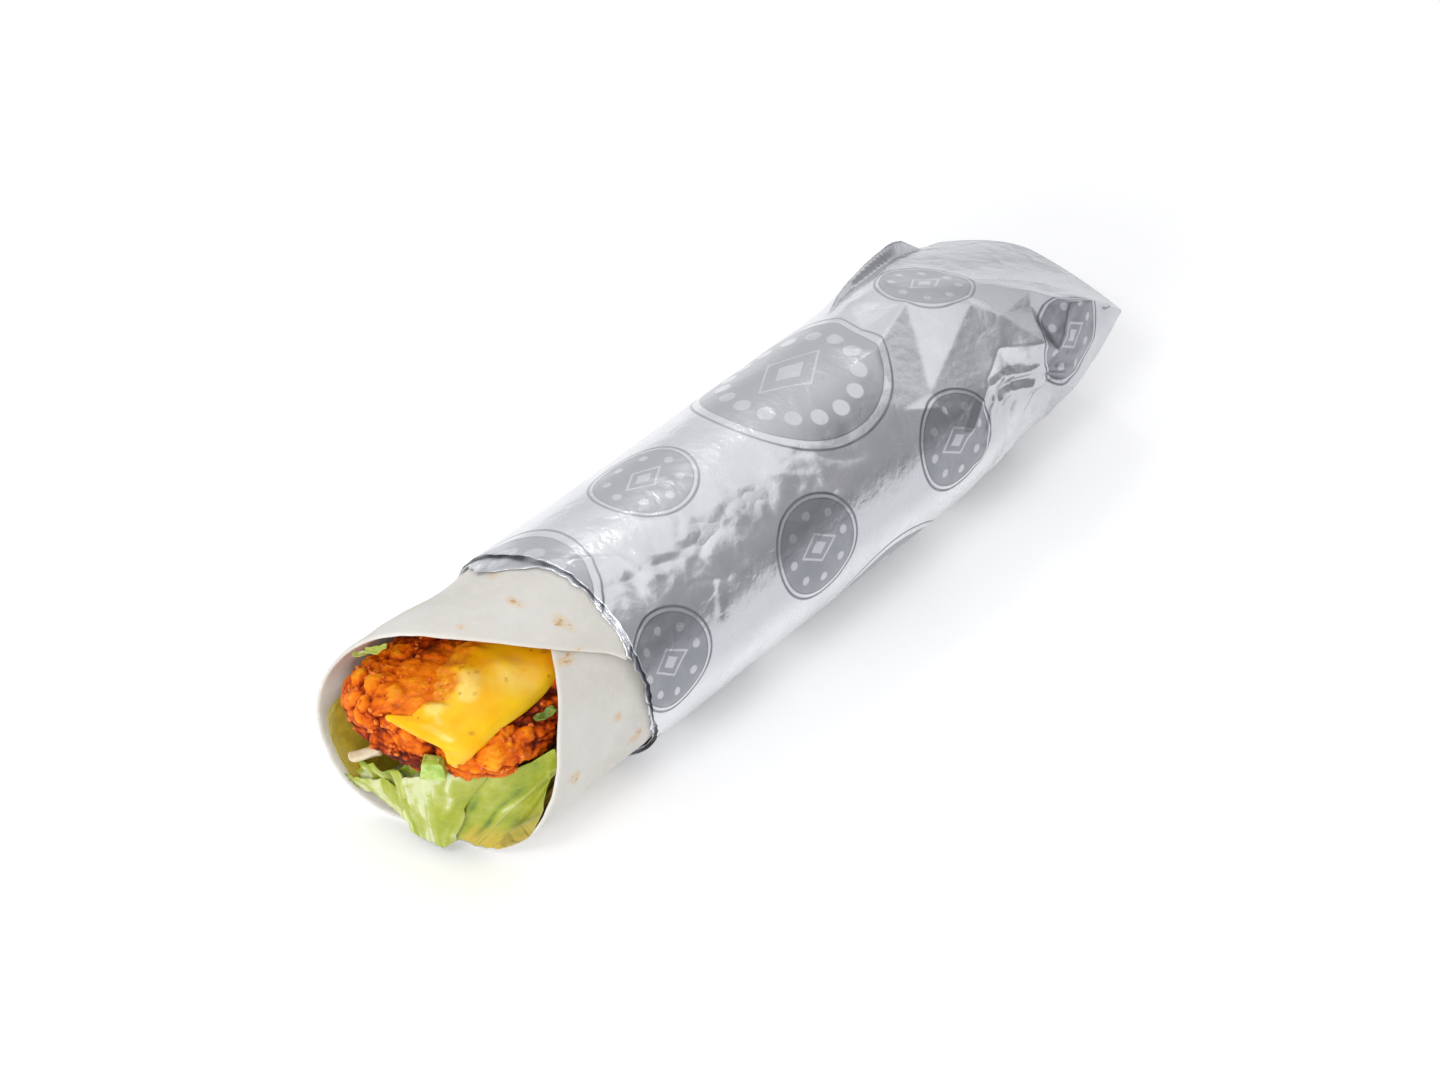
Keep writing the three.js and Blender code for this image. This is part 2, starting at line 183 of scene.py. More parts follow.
def grains(at, size, seed):
    """The distances, in grains, to the nearest and second nearest of one grain to a cell."""
    place = at / size
    base = np.floor(place)
    near = np.full(place.shape[:-1], 9.0)
    second = near.copy()
    for step in itertools.product((-1, 0, 1), repeat=3):
        cell = base + step
        grain = cell + np.stack([scattered(cell, seed + k) for k in range(3)], -1)
        gap = np.linalg.norm(grain - place, axis=-1)
        second = np.minimum(second, np.maximum(near, gap))
        near = np.minimum(near, gap)
    return near, second


def crumple(across, along, size, seed):
    """Heights from -1 to 1 over a grid: flat triangles between scattered points, as in foil."""
    draw = random.Random(seed)

    def spot(i, j):
        a, b = across[0] + size * (i - 1 + draw.random()), along[0] + size * (j - 1 + draw.random())
        return a, b, draw.uniform(-1, 1)

    counts = [int((line[-1] - line[0]) / size) + 4 for line in (across, along)]
    spots = [spot(i, j) for i in range(counts[0]) for j in range(counts[1])]
    return facets(across, along, spots)[..., 0]


def facets(across, along, spots):
    """Values over a grid from triangles that join spots, which are (across, along, *values)."""
    triangles = delaunay_2d_cdt([Vector(spot[:2]) for spot in spots], [], [], 0, 1e-6)[2]
    result = np.zeros((len(across), len(along), len(spots[0]) - 2))
    for triangle in triangles:
        (ax, ay, *at_a), (bx, by, *at_b), (cx, cy, *at_c) = (spots[k] for k in triangle)
        first_a, last_a = np.searchsorted(across, (min(ax, bx, cx), max(ax, bx, cx)))
        first_b, last_b = np.searchsorted(along, (min(ay, by, cy), max(ay, by, cy)))
        area = (by - cy) * (ax - cx) + (cx - bx) * (ay - cy)
        if first_a == last_a or first_b == last_b or abs(area) < 1e-9:
            continue
        x = across[first_a:last_a, None]
        y = along[None, first_b:last_b]
        share_a = ((by - cy) * (x - cx) + (cx - bx) * (y - cy)) / area
        share_b = ((cy - ay) * (x - cx) + (ax - cx) * (y - cy)) / area
        share_c = 1 - share_a - share_b
        inside = np.minimum(np.minimum(share_a, share_b), share_c) >= -1e-6
        value = share_a[..., None] * at_a + share_b[..., None] * at_b + share_c[..., None] * at_c
        patch = result[first_a:last_a, first_b:last_b]
        patch[inside] = value[inside]
    return result


# ---------------------------------------------------------------- closed skins


def skin(name, rings, look, u=None, v=None):
    """A closed skin over rings of one even number of points, each end ring zipped shut.

    u and v are the UV map's values, u for a ring's points and its first again, v for each ring."""
    rings = np.asarray(rings)
    rows, count = rings.shape[:2]
    r, k = np.meshgrid(np.arange(rows - 1), np.arange(count), indexing="ij")
    r, k = r.ravel(), k.ravel()
    corner_rows = np.stack([r, r, r + 1, r + 1], -1)
    corner_columns = np.stack([k, k + 1, k + 1, k], -1)
    half = np.arange(count // 2 - 1)
    far = count - 1 - half
    start_columns = np.stack([half + 1, half, far, far - 1], -1)
    end_columns = np.stack([half, half + 1, far - 1, far], -1)
    corner_rows = np.concatenate([corner_rows, 0 * start_columns, 0 * end_columns + rows - 1])
    corner_columns = np.concatenate([corner_columns, start_columns, end_columns])
    faces = corner_rows * count + corner_columns % count
    flat = rings.reshape(-1, 3)
    a, b, c, d = (flat[faces[:, n]] for n in range(4))
    volume = np.einsum("ij,ij->i", a, np.cross(b, c)) + np.einsum("ij,ij->i", a, np.cross(c, d))
    turn = -1 if volume.sum() < 0 else 1
    mesh = bpy.data.meshes.new(name)
    mesh.from_pydata(placed(flat).tolist(), [], faces[:, ::turn].tolist())
    if u is not None:
        uv = np.stack([u[corner_columns], v[corner_rows]], -1)[:, ::turn]
        mesh.uv_layers.new(name="UVMap").data.foreach_set("uv", uv.reshape(-1))
    mesh.materials.append(look)
    mesh.shade_smooth()
    return linked(name, mesh)


def linked(name, data):
    thing = bpy.data.objects.new(name, data)
    bpy.context.scene.collection.objects.link(thing)
    return thing


def sheet_skin(name, columns, rows, face, look):
    """A sheet whose lower side is face(columns, row, 0) and its upper one face(columns, row, 1)."""
    rings = [np.concatenate([face(columns, row, 0), face(columns, row, 1)[::-1]]) for row in rows]
    return skin(name, rings, look)


def pushed(piece, amount):
    """Moves each point of a piece outwards by its own amount, in millimetres."""
    at = of_points(piece, "co") + of_points(piece, "normal") * np.reshape(amount, (-1, 1)) * MM
    moved(piece, at)


def raised(piece, amount):
    """Lifts each point of a piece by its own amount, in millimetres."""
    moved(piece, placed(own_places(piece) + points(0, 0, amount)))


def moved(piece, at):
    piece.data.vertices.foreach_set("co", at.reshape(-1))
    piece.data.update()


def of_points(piece, what):
    values = np.empty(3 * len(piece.data.vertices))
    piece.data.vertices.foreach_get(what, values)
    return values.reshape(-1, 3)


def own_places(piece):
    """A piece's points in millimetres in the wrap's own frame."""
    return of_points(piece, "co") / MM - (WRAP_X, WRAP_Y, 0)


def painted(piece, **marks):
    """Stores numbers at each point, under a name, for the piece's material to read."""
    for name, values in marks.items():
        attribute = piece.data.attributes.new(name, "FLOAT", "POINT")
        attribute.data.foreach_set("value", np.asarray(values, np.float32))


def joined(name, pieces):
    """One piece from several, with the first one's material."""
    with bpy.context.temp_override(active_object=pieces[0], selected_editable_objects=pieces):
        bpy.ops.object.join()
    pieces[0].name = name
    return pieces[0]


# ---------------------------------------------------------------- node looks


class Field:
    """A shader socket on which sums, products and comparisons add their Math nodes."""

    def __init__(self, look, socket):
        self.look = look
        self.socket = socket

    def math(self, operation, *others):
        return self.look.node("ShaderNodeMath", {"operation": operation}, [self, *others])

    def __add__(self, other):
        return self.math("ADD", other)

    def __mul__(self, other):
        return self.math("MULTIPLY", other)

    def __sub__(self, other):
        return self.math("SUBTRACT", other)

    def __pow__(self, other):
        return self.math("POWER", other)

    def __rsub__(self, other):
        return self.look.node("ShaderNodeMath", {"operation": "SUBTRACT"}, [other, self])

    __radd__ = __add__
    __rmul__ = __mul__

    def size(self):
        return self.math("ABSOLUTE")

    def least(self, other):
        return self.math("MINIMUM", other)

    def most(self, other):
        return self.math("MAXIMUM", other)

    def wrapped(self, half):
        """The value folded back into -half to half."""
        return self.math("WRAP", half, -half)

    def rise(self, low, high, to_low=0.0, to_high=1.0):
        """From to_low to to_high, smoothly, while the value goes from low to high."""
        ends = {"From Min": low, "From Max": high, "To Min": to_low, "To Max": to_high}
        smooth = {"interpolation_type": "SMOOTHSTEP"}
        return self.look.node("ShaderNodeMapRange", smooth, {"Value": self, **ends})

    def inside(self, edge, soft):
        """1 below the edge and 0 above it."""
        return 1 - self.rise(edge - soft, edge + soft)


class Nodes:
    """A node tree, whose nodes all come from node()."""

    def __init__(self, tree):
        self.tree = tree

    def node(self, kind, settings=None, values=(), output=0):
        made = self.tree.nodes.new(kind)
        for key, setting in (settings or {}).items():
            if key == "stops":
                self.stops(made.color_ramp, setting)
            else:
                setattr(made, key, setting)
        pairs = values.items() if isinstance(values, dict) else enumerate(values)
        for key, value in pairs:
            self.feed(made.inputs[key], value)
        return Field(self, made.outputs[output]) if made.outputs else made

    def stops(self, ramp, stops):
        while len(ramp.elements) < len(stops):
            ramp.elements.new(1)
        for element, (place, colour) in zip(ramp.elements, stops):
            element.position = place
            element.color = (*colour, 1)

    def feed(self, socket, value):
        if isinstance(value, Field):
            self.tree.links.new(value.socket, socket)
        elif isinstance(value, tuple) and len(value) == 3 and socket.type == "RGBA":
            socket.default_value = (*value, 1)
        else:
            socket.default_value = value

    def mix(self, share, first, second, how="MIX"):
        settings = {"data_type": "RGBA", "blend_type": how}
        return self.node("ShaderNodeMix", settings, {0: share, 6: first, 7: second}, 2)

    def ramp(self, value, *stops):
        return self.node("ShaderNodeValToRGB", {"stops": stops}, [value])

    def axes(self, vector):
        split = self.node("ShaderNodeSeparateXYZ", {}, [vector])
        return [Field(self, output) for output in split.socket.node.outputs]


class Look(Nodes):
    """A material."""

    def __init__(self, name, **sockets):
        self.material = bpy.data.materials.new(name)
        self.material.use_nodes = True
        super().__init__(self.material.node_tree)
        self.shader = self.tree.nodes["Principled BSDF"]
        self.put(**sockets)

    def put(self, **sockets):
        """Sets the shader's sockets: base_color=... feeds Base Color."""
        for name, value in sockets.items():
            title = name.replace("_", " ").title().replace("Ior", "IOR")
            self.feed(self.shader.inputs[title], value)

    def place(self):
        return self.node("ShaderNodeTexCoord", output="Object")

    def sized(self, size, **more):
        return {"Vector": self.place(), "Scale": 1 / (size * MM), **more}

    def noise(self, size, detail, roughness=0.5):
        """Noise from about 0.3 to 0.7 whose lumps are about size millimetres across."""
        values = self.sized(size, Detail=detail, Roughness=roughness)
        return self.node("ShaderNodeTexNoise", {}, values)

    def cells(self, size):
        """The distance from the middle of the nearest of cells about size millimetres across."""
        return self.node("ShaderNodeTexVoronoi", {}, self.sized(size), "Distance")

    def mark(self, name):
        """The numbers that painted() stored under this name."""
        return self.node("ShaderNodeAttribute", {"attribute_name": name}, output="Fac")

    def bumps(self, height, depth, strength):
        """Bumps whose height runs from 0 to depth millimetres."""
        values = {"Strength": strength, "Distance": depth * MM, "Height": height}
        self.put(normal=self.node("ShaderNodeBump", {}, values))

    def soak(self, weight, scale_mm, radius):
        """Light that goes into the food and comes out again nearby."""
        scale = scale_mm * MM
        self.put(subsurface_weight=weight, subsurface_scale=scale, subsurface_radius=radius)


# ---------------------------------------------------------------- materials

TURN_MM = 2 * math.pi * 29 / 360  # millimetres round the foil for each degree

# The foil's print: the angles of a row of small discs and of one of large and small discs in turn,
# half the way from row to row of a kind, the step along a row, and each disc's radius and dots
SMALL_ROW, MIXED_ROW, HALF_ROUND, STEP = 20, 102, 82, 51.4
SMALL_FROM, LARGE_FROM = 57.9, 20.2
SMALL_DISC, LARGE_DISC = (13.2, 8), (25.5, 16)


def foil_look():
    """Satin foil with a soft grey print of ringed discs, in millimetres over the unrolled sheet."""
    look = Look("foil", metallic=0.9, specular_ior_level=0.5)
    unrolled = look.node("ShaderNodeUVMap", {"uv_map": "UVMap"})
    u, v, _ = look.axes(unrolled)
    round_mm = u * (360 * TURN_MM) + (SEAM - 360) * TURN_MM
    along_mm = v * (RIDGE_Y - RIM_Y) + RIM_Y
    wander = look.noise(26, 2) - 0.5
    round_mm = round_mm + wander * 1.6
    first = (round_mm - SMALL_ROW * TURN_MM).wrapped(HALF_ROUND * TURN_MM)
    second = (round_mm - MIXED_ROW * TURN_MM).wrapped(HALF_ROUND * TURN_MM)
    small = disc_print(first, (along_mm + SMALL_FROM).wrapped(STEP / 2), *SMALL_DISC)
    large = disc_print(second, (along_mm - LARGE_FROM).wrapped(STEP), *LARGE_DISC)
    between = disc_print(second, (along_mm - LARGE_FROM - STEP).wrapped(STEP), *SMALL_DISC)
    large = large * along_mm.inside(90, 2)
    ink = small.most(between).most(large * 0.95)
    ink = ink * round_mm.rise(60 * TURN_MM, 85 * TURN_MM, 1.0, 0.6)
    cloud = look.noise(9, 4, 0.6)
    ink = ink * cloud.rise(0.25, 0.7, 0.8, 1.05)
    silver = look.ramp(cloud, (0.3, (0.76, 0.77, 0.80)), (0.7, (0.86, 0.865, 0.88)))
    # Painted reflection: the silver is darker at the folded end and along the low right side,
    # standing in for the dark surroundings that the foil reflects there.
    low_side = (round_mm - 17 * TURN_MM).size().inside(17 * TURN_MM, 5) * 0.9
    silver = look.mix(along_mm.rise(50, 95).most(low_side) * 0.85, silver, (0.52, 0.525, 0.555))
    look.put(base_color=look.mix(ink, silver, (0.20, 0.21, 0.24)))
    look.put(roughness=ink.rise(0, 1, 0.27, 0.42) + (cloud - 0.5) * 0.08)
    crease = (look.noise(6.5, 3, 0.55) - 0.5).size()
    fine = look.noise(2.6, 1) * 0.2 + look.noise(6, 2, 0.5) + crease.rise(0, 0.12) * 0.3
    look.bumps(fine, 0.25, 0.5)
    return look.material


def disc_print(across, along, radius, dots):
    """How strongly a disc's soft print covers the foil: two rings, a ring of dots and a diamond."""
    soft = 0.22
    far = (across * across + along * along) ** 0.5
    rim = (far - radius).size().inside(0.32, soft)
    inner_rim = (far - radius * 0.9).size().inside(0.22, soft)
    field = far.inside(radius * 0.9, soft) * 0.72
    turn = along.math("ARCTAN2", across).wrapped(math.pi / dots)
    dot_ring = radius * 0.66
    dot = ((turn * dot_ring) ** 2 + (far - dot_ring) ** 2) ** 0.5
    dot = dot.inside(radius * 0.085, soft)
    diamond = across.size() * 1.5 + along.size()
    outline = (diamond - radius * 0.42).size().inside(0.5, soft)
    heart = diamond.inside(radius * 0.2, soft)
    light = dot.most(outline).most(heart)
    return (field * (1 - light * 0.75)).most(rim).most(inner_rim)


def tortilla_look():
    """Pale flour tortilla with a mealy surface and small toasted spots."""
    look = Look("tortilla", specular_ior_level=0.3)
    look.soak(0.12, 2.0, (1.0, 0.7, 0.4))
    broad = look.noise(16, 3, 0.55)
    mealy = look.noise(2.2, 4, 0.6)
    pale = look.ramp(broad, (0.35, (0.66, 0.63, 0.575)), (0.65, (0.725, 0.705, 0.66)))
    flour = look.mix(mealy.rise(0.52, 0.7) * 0.4, pale, (0.765, 0.745, 0.705))
    spots = look.mark("toast")
    torn = look.noise(1.6, 3, 0.7)
    toasted = (spots * torn.rise(0.33, 0.6, 0.25, 1.25)).least(1)
    light = look.mix(toasted * 0.75, flour, (0.72, 0.52, 0.29))
    dark = (toasted * look.noise(1.1, 2).rise(0.45, 0.62)).rise(0.45, 1.0)
    specks = look.noise(0.9, 1).rise(0.70, 0.78) * look.noise(9, 1).rise(0.45, 0.65) * 0.35
    spotted = look.mix(dark * 0.55, light, (0.42, 0.22, 0.09))
    look.put(base_color=look.mix(specks, spotted, (0.66, 0.50, 0.32)))
    look.put(roughness=mealy.rise(0.3, 0.7, 0.62, 0.8))
    height = mealy * 0.6 + look.noise(7, 3) * 1.6
    look.bumps(height, 0.22, 0.55)
    return look.material


def breading_look():
    """Craggy fried breading, moist with sauce, with painted shade: bright on its lumps, dark red in
    its cracks, darker underneath and further in.
    """
    look = Look("breading", specular_ior_level=0.1, coat_roughness=0.2)
    look.soak(0.1, 1.5, (1.0, 0.35, 0.1))
    # The mark read here is painted shade: dark in the cracks, on the low underside and further
    # inside the wrap, light on the lumps.
    crag = look.mark("crag")
    grain = look.noise(1.0, 4, 0.65)
    shade = crag + (grain - 0.5) * 0.55
    colour = look.ramp(
        shade,
        (0.05, (0.09, 0.008, 0.001)),
        (0.24, (0.34, 0.035, 0.001)),
        (0.44, (0.67, 0.110, 0.002)),
        (0.68, (0.85, 0.195, 0.003)),
        (0.95, (0.96, 0.390, 0.015)),
    )
    broad = look.noise(7, 2).rise(0.45, 0.65)
    colour = look.mix(broad * 0.4, colour, (0.80, 0.55, 0.45), "MULTIPLY")
    sauce = look.mark("sauce")
    look.put(base_color=look.mix(sauce * 0.55, colour, (0.93, 0.23, 0.004)))
    look.put(roughness=grain.rise(0.3, 0.7, 0.36, 0.6) - sauce * 0.12)
    look.put(coat_weight=look.noise(3.5, 2).rise(0.45, 0.6) * 0.06 + sauce * 0.2)
    look.bumps(grain + look.cells(0.7) * 0.4, 0.35, 0.7)
    return look.material


def cheese_look():
    """Melted processed cheese, glossy, stained with orange sauce and a few brown specks."""
    look = Look("cheese", specular_ior_level=0.15, coat_roughness=0.16)
    look.soak(0.25, 3.0, (1.0, 0.55, 0.12))
    stain = look.mark("stain")
    torn = look.noise(2.4, 4, 0.65)
    cloudy = look.noise(8, 2)
    plain = look.ramp(cloudy, (0.35, (0.98, 0.455, 0.001)), (0.65, (1.0, 0.57, 0.003)))
    sauced = (stain + (torn - 0.5) * 1.5).rise(0.25, 0.85)
    orange = look.mix(torn.rise(0.4, 0.65), (0.80, 0.16, 0.006), (0.95, 0.38, 0.010))
    colour = look.mix(sauced * 0.85, plain, orange)
    # Painted highlight: pale patches on the first blisters, and a broad paler patch that offsets
    # the shade under the flap.
    milky = (look.mark("milky") * (1 + (torn - 0.5) * 1.6)).rise(0.1, 1.0)
    colour = look.mix(milky * 0.55, colour, (1.0, 0.80, 0.24))
    fine_specks = look.cells(3.4).inside(0.12, 0.06) * look.noise(6, 1).rise(0.5, 0.6)
    specks = fine_specks.most(look.mark("specks"))
    look.put(base_color=look.mix(specks * 0.6, colour, (0.42, 0.16, 0.01)))
    look.put(roughness=torn.rise(0.3, 0.7, 0.26, 0.42))
    look.put(coat_weight=cloudy.rise(0.35, 0.55, 0.15, 0.6))
    look.bumps(torn * 0.4 + cloudy, 0.4, 0.6)
    return look.material


def lettuce_look():
    """A leaf that goes from a pale rib to a greener frilled edge, with a net of veins."""
    look = Look("lettuce_leaf", specular_ior_level=0.3, coat_roughness=0.15, coat_weight=0.15)
    look.soak(0.2, 1.5, (0.6, 1.0, 0.25))
    cloud = look.noise(5, 3, 0.6)
    tone = look.mark("frill") + (cloud - 0.5) * 0.8
    colour = look.ramp(
        tone,
        (0.02, (0.65, 0.70, 0.37)),
        (0.18, (0.45, 0.50, 0.10)),
        (0.46, (0.37, 0.42, 0.030)),
        (0.72, (0.28, 0.36, 0.022)),
        (0.97, (0.14, 0.20, 0.017)),
    )
    veins = look.mark("vein")
    colour = look.mix(veins * 0.4, colour, (0.60, 0.64, 0.28))
    colour = look.mix(look.mark("mustard"), colour, (0.62, 0.43, 0.055))
    look.put(base_color=colour, roughness=cloud.rise(0.3, 0.7, 0.28, 0.45))
    look.bumps(look.noise(1.6, 3) + look.noise(4, 2) + veins * 0.8, 0.45, 0.6)
    return look.material


def pickle_look(name, flesh, rind):
    """Wet, blotched flesh with a darker rind."""
    look = Look(name, specular_ior_level=0.3, coat_weight=0.2, coat_roughness=0.1)
    look.soak(0.25, 2.0, (0.9, 0.8, 0.2))
    cloud = look.noise(3.2, 3, 0.6)
    edge = look.mark("rind")
    colour = look.mix(cloud.rise(0.35, 0.65), flesh, tuple(0.72 * c for c in flesh))
    look.put(base_color=look.mix(edge, colour, rind), roughness=0.25)
    look.bumps(cloud, 0.3, 0.5)
    return look.material


def plain_look(name, first, second, size, roughness, bump=0.15):
    """Two tones of one food, mixed in patches."""
    look = Look(name, subsurface_weight=0.2, subsurface_scale=1.5 * MM, specular_ior_level=0.5)
    patches = look.noise(size, 3, 0.6)
    look.put(base_color=look.mix(patches.rise(0.38, 0.62), first, second), roughness=roughness)
    look.bumps(look.noise(size / 3, 3), bump, 0.6)
    return look.material


# ---------------------------------------------------------------- the round of the wrap


def right_half_width(y):
    return HALF_WIDTH - RIGHT_TAPER * rise(y, 45, 95) - RIDGE_TAPER * rise(y, 98, RIDGE_Y)


def facet_top(x, y):
    """The folded end's top falls to the ridge from a crease that crosses it at a slant."""
    start = CREASE_Y + np.where(x < CREASE_X, CREASE_LEFT, CREASE_RIGHT) * (x - CREASE_X)
    return lerp(HEIGHT, RIDGE_Z + RIDGE_HALF, np.clip((y - start) / (RIDGE_Y - start), 0, 1))


def facet_base(y):
    return lerp(0, RIDGE_Z - RIDGE_HALF, np.clip((y - BASE_FOLD_Y) / (RIDGE_Y - BASE_FOLD_Y), 0, 1))


def wrap_point(degrees, y, inset):
    """A point of the wrap's round, inset from its outside."""
    c, s = cos(degrees), sin(degrees)
    y = y + 0 * c
    x = (np.where(c > 0, right_half_width(y), HALF_WIDTH) - inset) * c
    middle = lerp(MIDDLE_Z, RIDGE_Z, rise(y, 70, 115))
    tall = np.where(s > 0, HEIGHT - middle, middle + FLAT_DROP)
    room = np.where(s > 0, facet_top(x, y) - middle, middle - facet_base(y))
    up = np.minimum((tall - inset) * np.abs(s), room - inset)
    bow = np.where(x < BOW_X, BOW_LEFT, BOW_RIGHT) * (x - BOW_X) ** 2 * rise(y, 60, RIDGE_Y)
    return points(x, y - bow, middle + np.sign(s) * up)


def draw_in(x, y):
    """The fillings' right side draws in with the wrap's."""
    return np.where(x > 0, x * right_half_width(y) / HALF_WIDTH, x)


# ---------------------------------------------------------------- foil wrapper


def rim_y(degrees):
    """Where the foil's rolled rim lies: further out on the left, and back at the lower right."""
    turn = degrees % 360
    left = rise(turn, 75, 125) * fall(turn, 235, 290)
    lower_right = rise(turn, 285, 325) * fall(turn, 330, 365)
    return RIM_Y - RIM_OUT * left + RIM_BACK * lower_right


def lip(degrees):
    """How far the inner foil layer stands out of the rim, most in a torn corner at the left."""
    turn = degrees % 360
    torn = 6 * hump(turn, 118, 17) + hump(turn, 250, 30)
    ragged = 0.5 * wave(6, 3, turn) + 0.25 * wave(2, 4, turn, 9)
    return 0.9 + torn + ragged


# The layers under the folded end: where they begin to lie further in, by how much all round, and
# how much more about an angle
PINCH_FROM, PINCH, PINCH_MORE, PINCH_AT, PINCH_WIDE = (28, 46), 2.8, 2.6, 75, 38


def pinched(degrees, y):
    """How much further in the layers lie under the deep creases of the folded end."""
    crease = hump(signed(degrees - PINCH_AT), 0, PINCH_WIDE)
    return rise(y, *PINCH_FROM) * (PINCH + PINCH_MORE * crease)


# A fold that stands up like an ear at the upper left of the folded end: y, angle and height
EAR = [
    (46, 123, 0), (56, 135, 1.4), (64, 142, 2.4), (72, 144, 3.4), (82, 147, 4.0), (96, 153, 3.4),
    (107, 158, 0),
]

EAR_STEEP, EAR_SLOW = 1.6, 17  # degrees over which its inner and outer sides fall


def ear(degrees, y):
    """The ear's height: steep on its inner side and falling slowly on its outer one."""
    ys, turns, heights = zip(*EAR)
    beyond = degrees % 360 - np.interp(y, ys, turns)
    away = np.where(beyond < 0, -beyond / EAR_STEEP, beyond / EAR_SLOW)
    return np.interp(y, ys, heights) * np.clip(1 - away, 0, 1)


# Corners of the folded end's facets, as (degrees, y, height), and those where they join the round
FACETS = [
    (93.5, 58.5, 0.4), (71, 71.5, -0.6), (48, 45, -2.1), (62, 35.5, -0.2), (100, 46, -2.1),
    (81, 39, 1.4), (34, 60, -0.2), (56, 77, -0.6), (43.5, 70.5, -0.8), (47.5, 88.5, -2.6),
    (37, 98.5, 1.9), (31, 83, 2.6), (19.5, 88.5, 2.6), (26, 73, -2.2), (60, 92, -1.3),
    (12, 78, 0), (8, 96, 2.1), (26, 108, 0.2),
]
ROUND = [
    (30, 46, 0), (14, 54, 0), (-10, 66, 0), (-20, 84, 0), (-22, 100, 0), (-30, 110, 0),
    (120, 52, 0), (112, 66, 0.1), (95, 82, 0.1), (118, 84, -0.2), (95, 104, 0.2), (48, 110, 0.1),
    (78, 98, 0.2), (66, 28, 0), (82, 30, 0), (100, 34, 0), (50, 34, 0), (40, 44, 0), (25, 119, 0),
    (60, 119, 0), (-10, 119, 0), (140, 60, 0), (150, 100, 0), (130, 118, 0), (-40, 70, 0),
    (-40, 100, 0), (170, 50, 0), (170, 80, 0), (170, 121, 0), (0, 112, 0),
]

# Folds that sweep round the folded end's lower right, and wrinkles in the middle: the points each
# passes through as (degrees, y), its height and its half-width
FOLDS = [
    ([(20, 50), (31, 60), (29, 68), (20, 78), (11, 85), (2, 96)], 0.9, 2.2),
    ([(0, 52), (10, 56), (20, 63), (15, 74), (4, 84), (-14, 98)], 0.8, 2.4),
    ([(8, 55), (24, 66), (17, 80), (0, 92)], -0.7, 1.8),
    ([(66, -62), (60, -45), (58, -30), (64, -22)], -0.3, 2.4),
    ([(70, -50), (58, -40), (47, -44), (38, -34)], 0.35, 2.2),
    ([(66, -32), (59, -31), (52, -38), (40, -36), (24, -40)], -0.35, 2.2),
    ([(67, -24), (56, -22), (52, -26), (40, -28)], 0.35, 2.6),
    ([(62, -16), (55, -13), (45, -15), (36, -8)], -0.3, 2.4),
    ([(64, -8), (57, -4), (50, 2), (40, 4)], 0.3, 2.4),
    ([(64, 2), (58, 6), (52, 8), (44, 16)], -0.3, 2.4),
    ([(86, -62), (74, -54), (63, -52), (57, -50)], 0.4, 1.6),
    ([(84, -40), (74, -34), (66, -38)], -0.3, 1.8),
]


# Crumples of three sizes: size, seed, and height everywhere, at the folded end, in the band and at
# the rim; and those of the folded end's lower side: size, seed and height
CRUMPLES = [
    (19, 11, 0.18, 0.08, 0.2, 0.0), (7.5, 12, 0.08, 0.14, 0.50, 0.10),
    (3.4, 13, 0.035, 0.07, 0.20, 0.05),
]
LOW_CRUMPLES = [(9, 14, 0.9), (4.2, 15, 0.35)]


def folded(degrees, y):
    """The height of the folds."""
    total = 0
    for line, height, wide in FOLDS:
        off = np.full(degrees.shape, 99.0)
        for (start_at, start_y), (end_at, end_y) in zip(line, line[1:]):
            run_a, run_y = (end_at - start_at) * TURN_MM, end_y - start_y
            from_a, from_y = (degrees - start_at) * TURN_MM, y - start_y
            t = np.clip((from_a * run_a + from_y * run_y) / (run_a**2 + run_y**2), 0, 1)
            off = np.minimum(off, np.hypot(from_a - t * run_a, from_y - t * run_y))
        total = total + height * np.clip(1 - off / wide, 0, 1) ** 1.3
    return total


def foil_relief(degrees, ys):
    """How far the crumpled foil stands out of the round, for a grid of angles and places."""
    angle, y = np.meshgrid(degrees, ys, indexing="ij")
    shown = signed(angle)
    across = degrees * TURN_MM
    end = rise(y, 58, 96)
    band = hump(shown, 56, 15) * fall(y, 4, 34)
    rim = hump(y, -66, 9)
    lower = rise(y, 48, 66) * fall(y, 98, 112) * fall(shown, 26, 46)
    relief = 0
    for size, seed, all_over, at_end, in_band, at_rim in CRUMPLES:
        height = all_over + at_end * end + in_band * band + at_rim * rim
        relief = relief + crumple(across, ys, size, seed) * height
    low = sum(height * crumple(across, ys, size, seed) for size, seed, height in LOW_CRUMPLES)
    return (relief + low * lower + folded(shown, y)) * at_rest(angle, y)


def at_rest(degrees, y):
    """1 where the foil is free to crumple, 0 where it lies on the table or meets the ridge."""
    return rise(sin(degrees), -0.85, -0.45) * rise(RIDGE_Y - y, 0, 5)


def faceted(degrees, ys):
    """How far the folded end's facets lie off the round, as a vector for each angle and place."""
    angle, y = np.meshgrid(degrees, ys, indexing="ij")
    shown = signed(degrees)
    order = np.argsort(shown)
    spots = []
    for corners, flat in ((FACETS, 1.0), (ROUND, 0.0)):
        for turn, place, height in corners:
            corner = wrap_point(turn, place, -height)
            spots.append((turn * TURN_MM, place, height, flat, *corner))
    grid = np.zeros((*angle.shape, 5))
    grid[order] = facets(shown[order] * TURN_MM, ys, spots)
    base = wrap_point(angle, y, 0)
    rounded = base + points(grid[..., 0] * cos(angle), 0, grid[..., 0] * sin(angle))
    share = np.clip(1.6 * grid[..., 1:2], 0, 1)
    return (lerp(rounded, grid[..., 2:], share) - base) * at_rest(angle, y)[..., None]


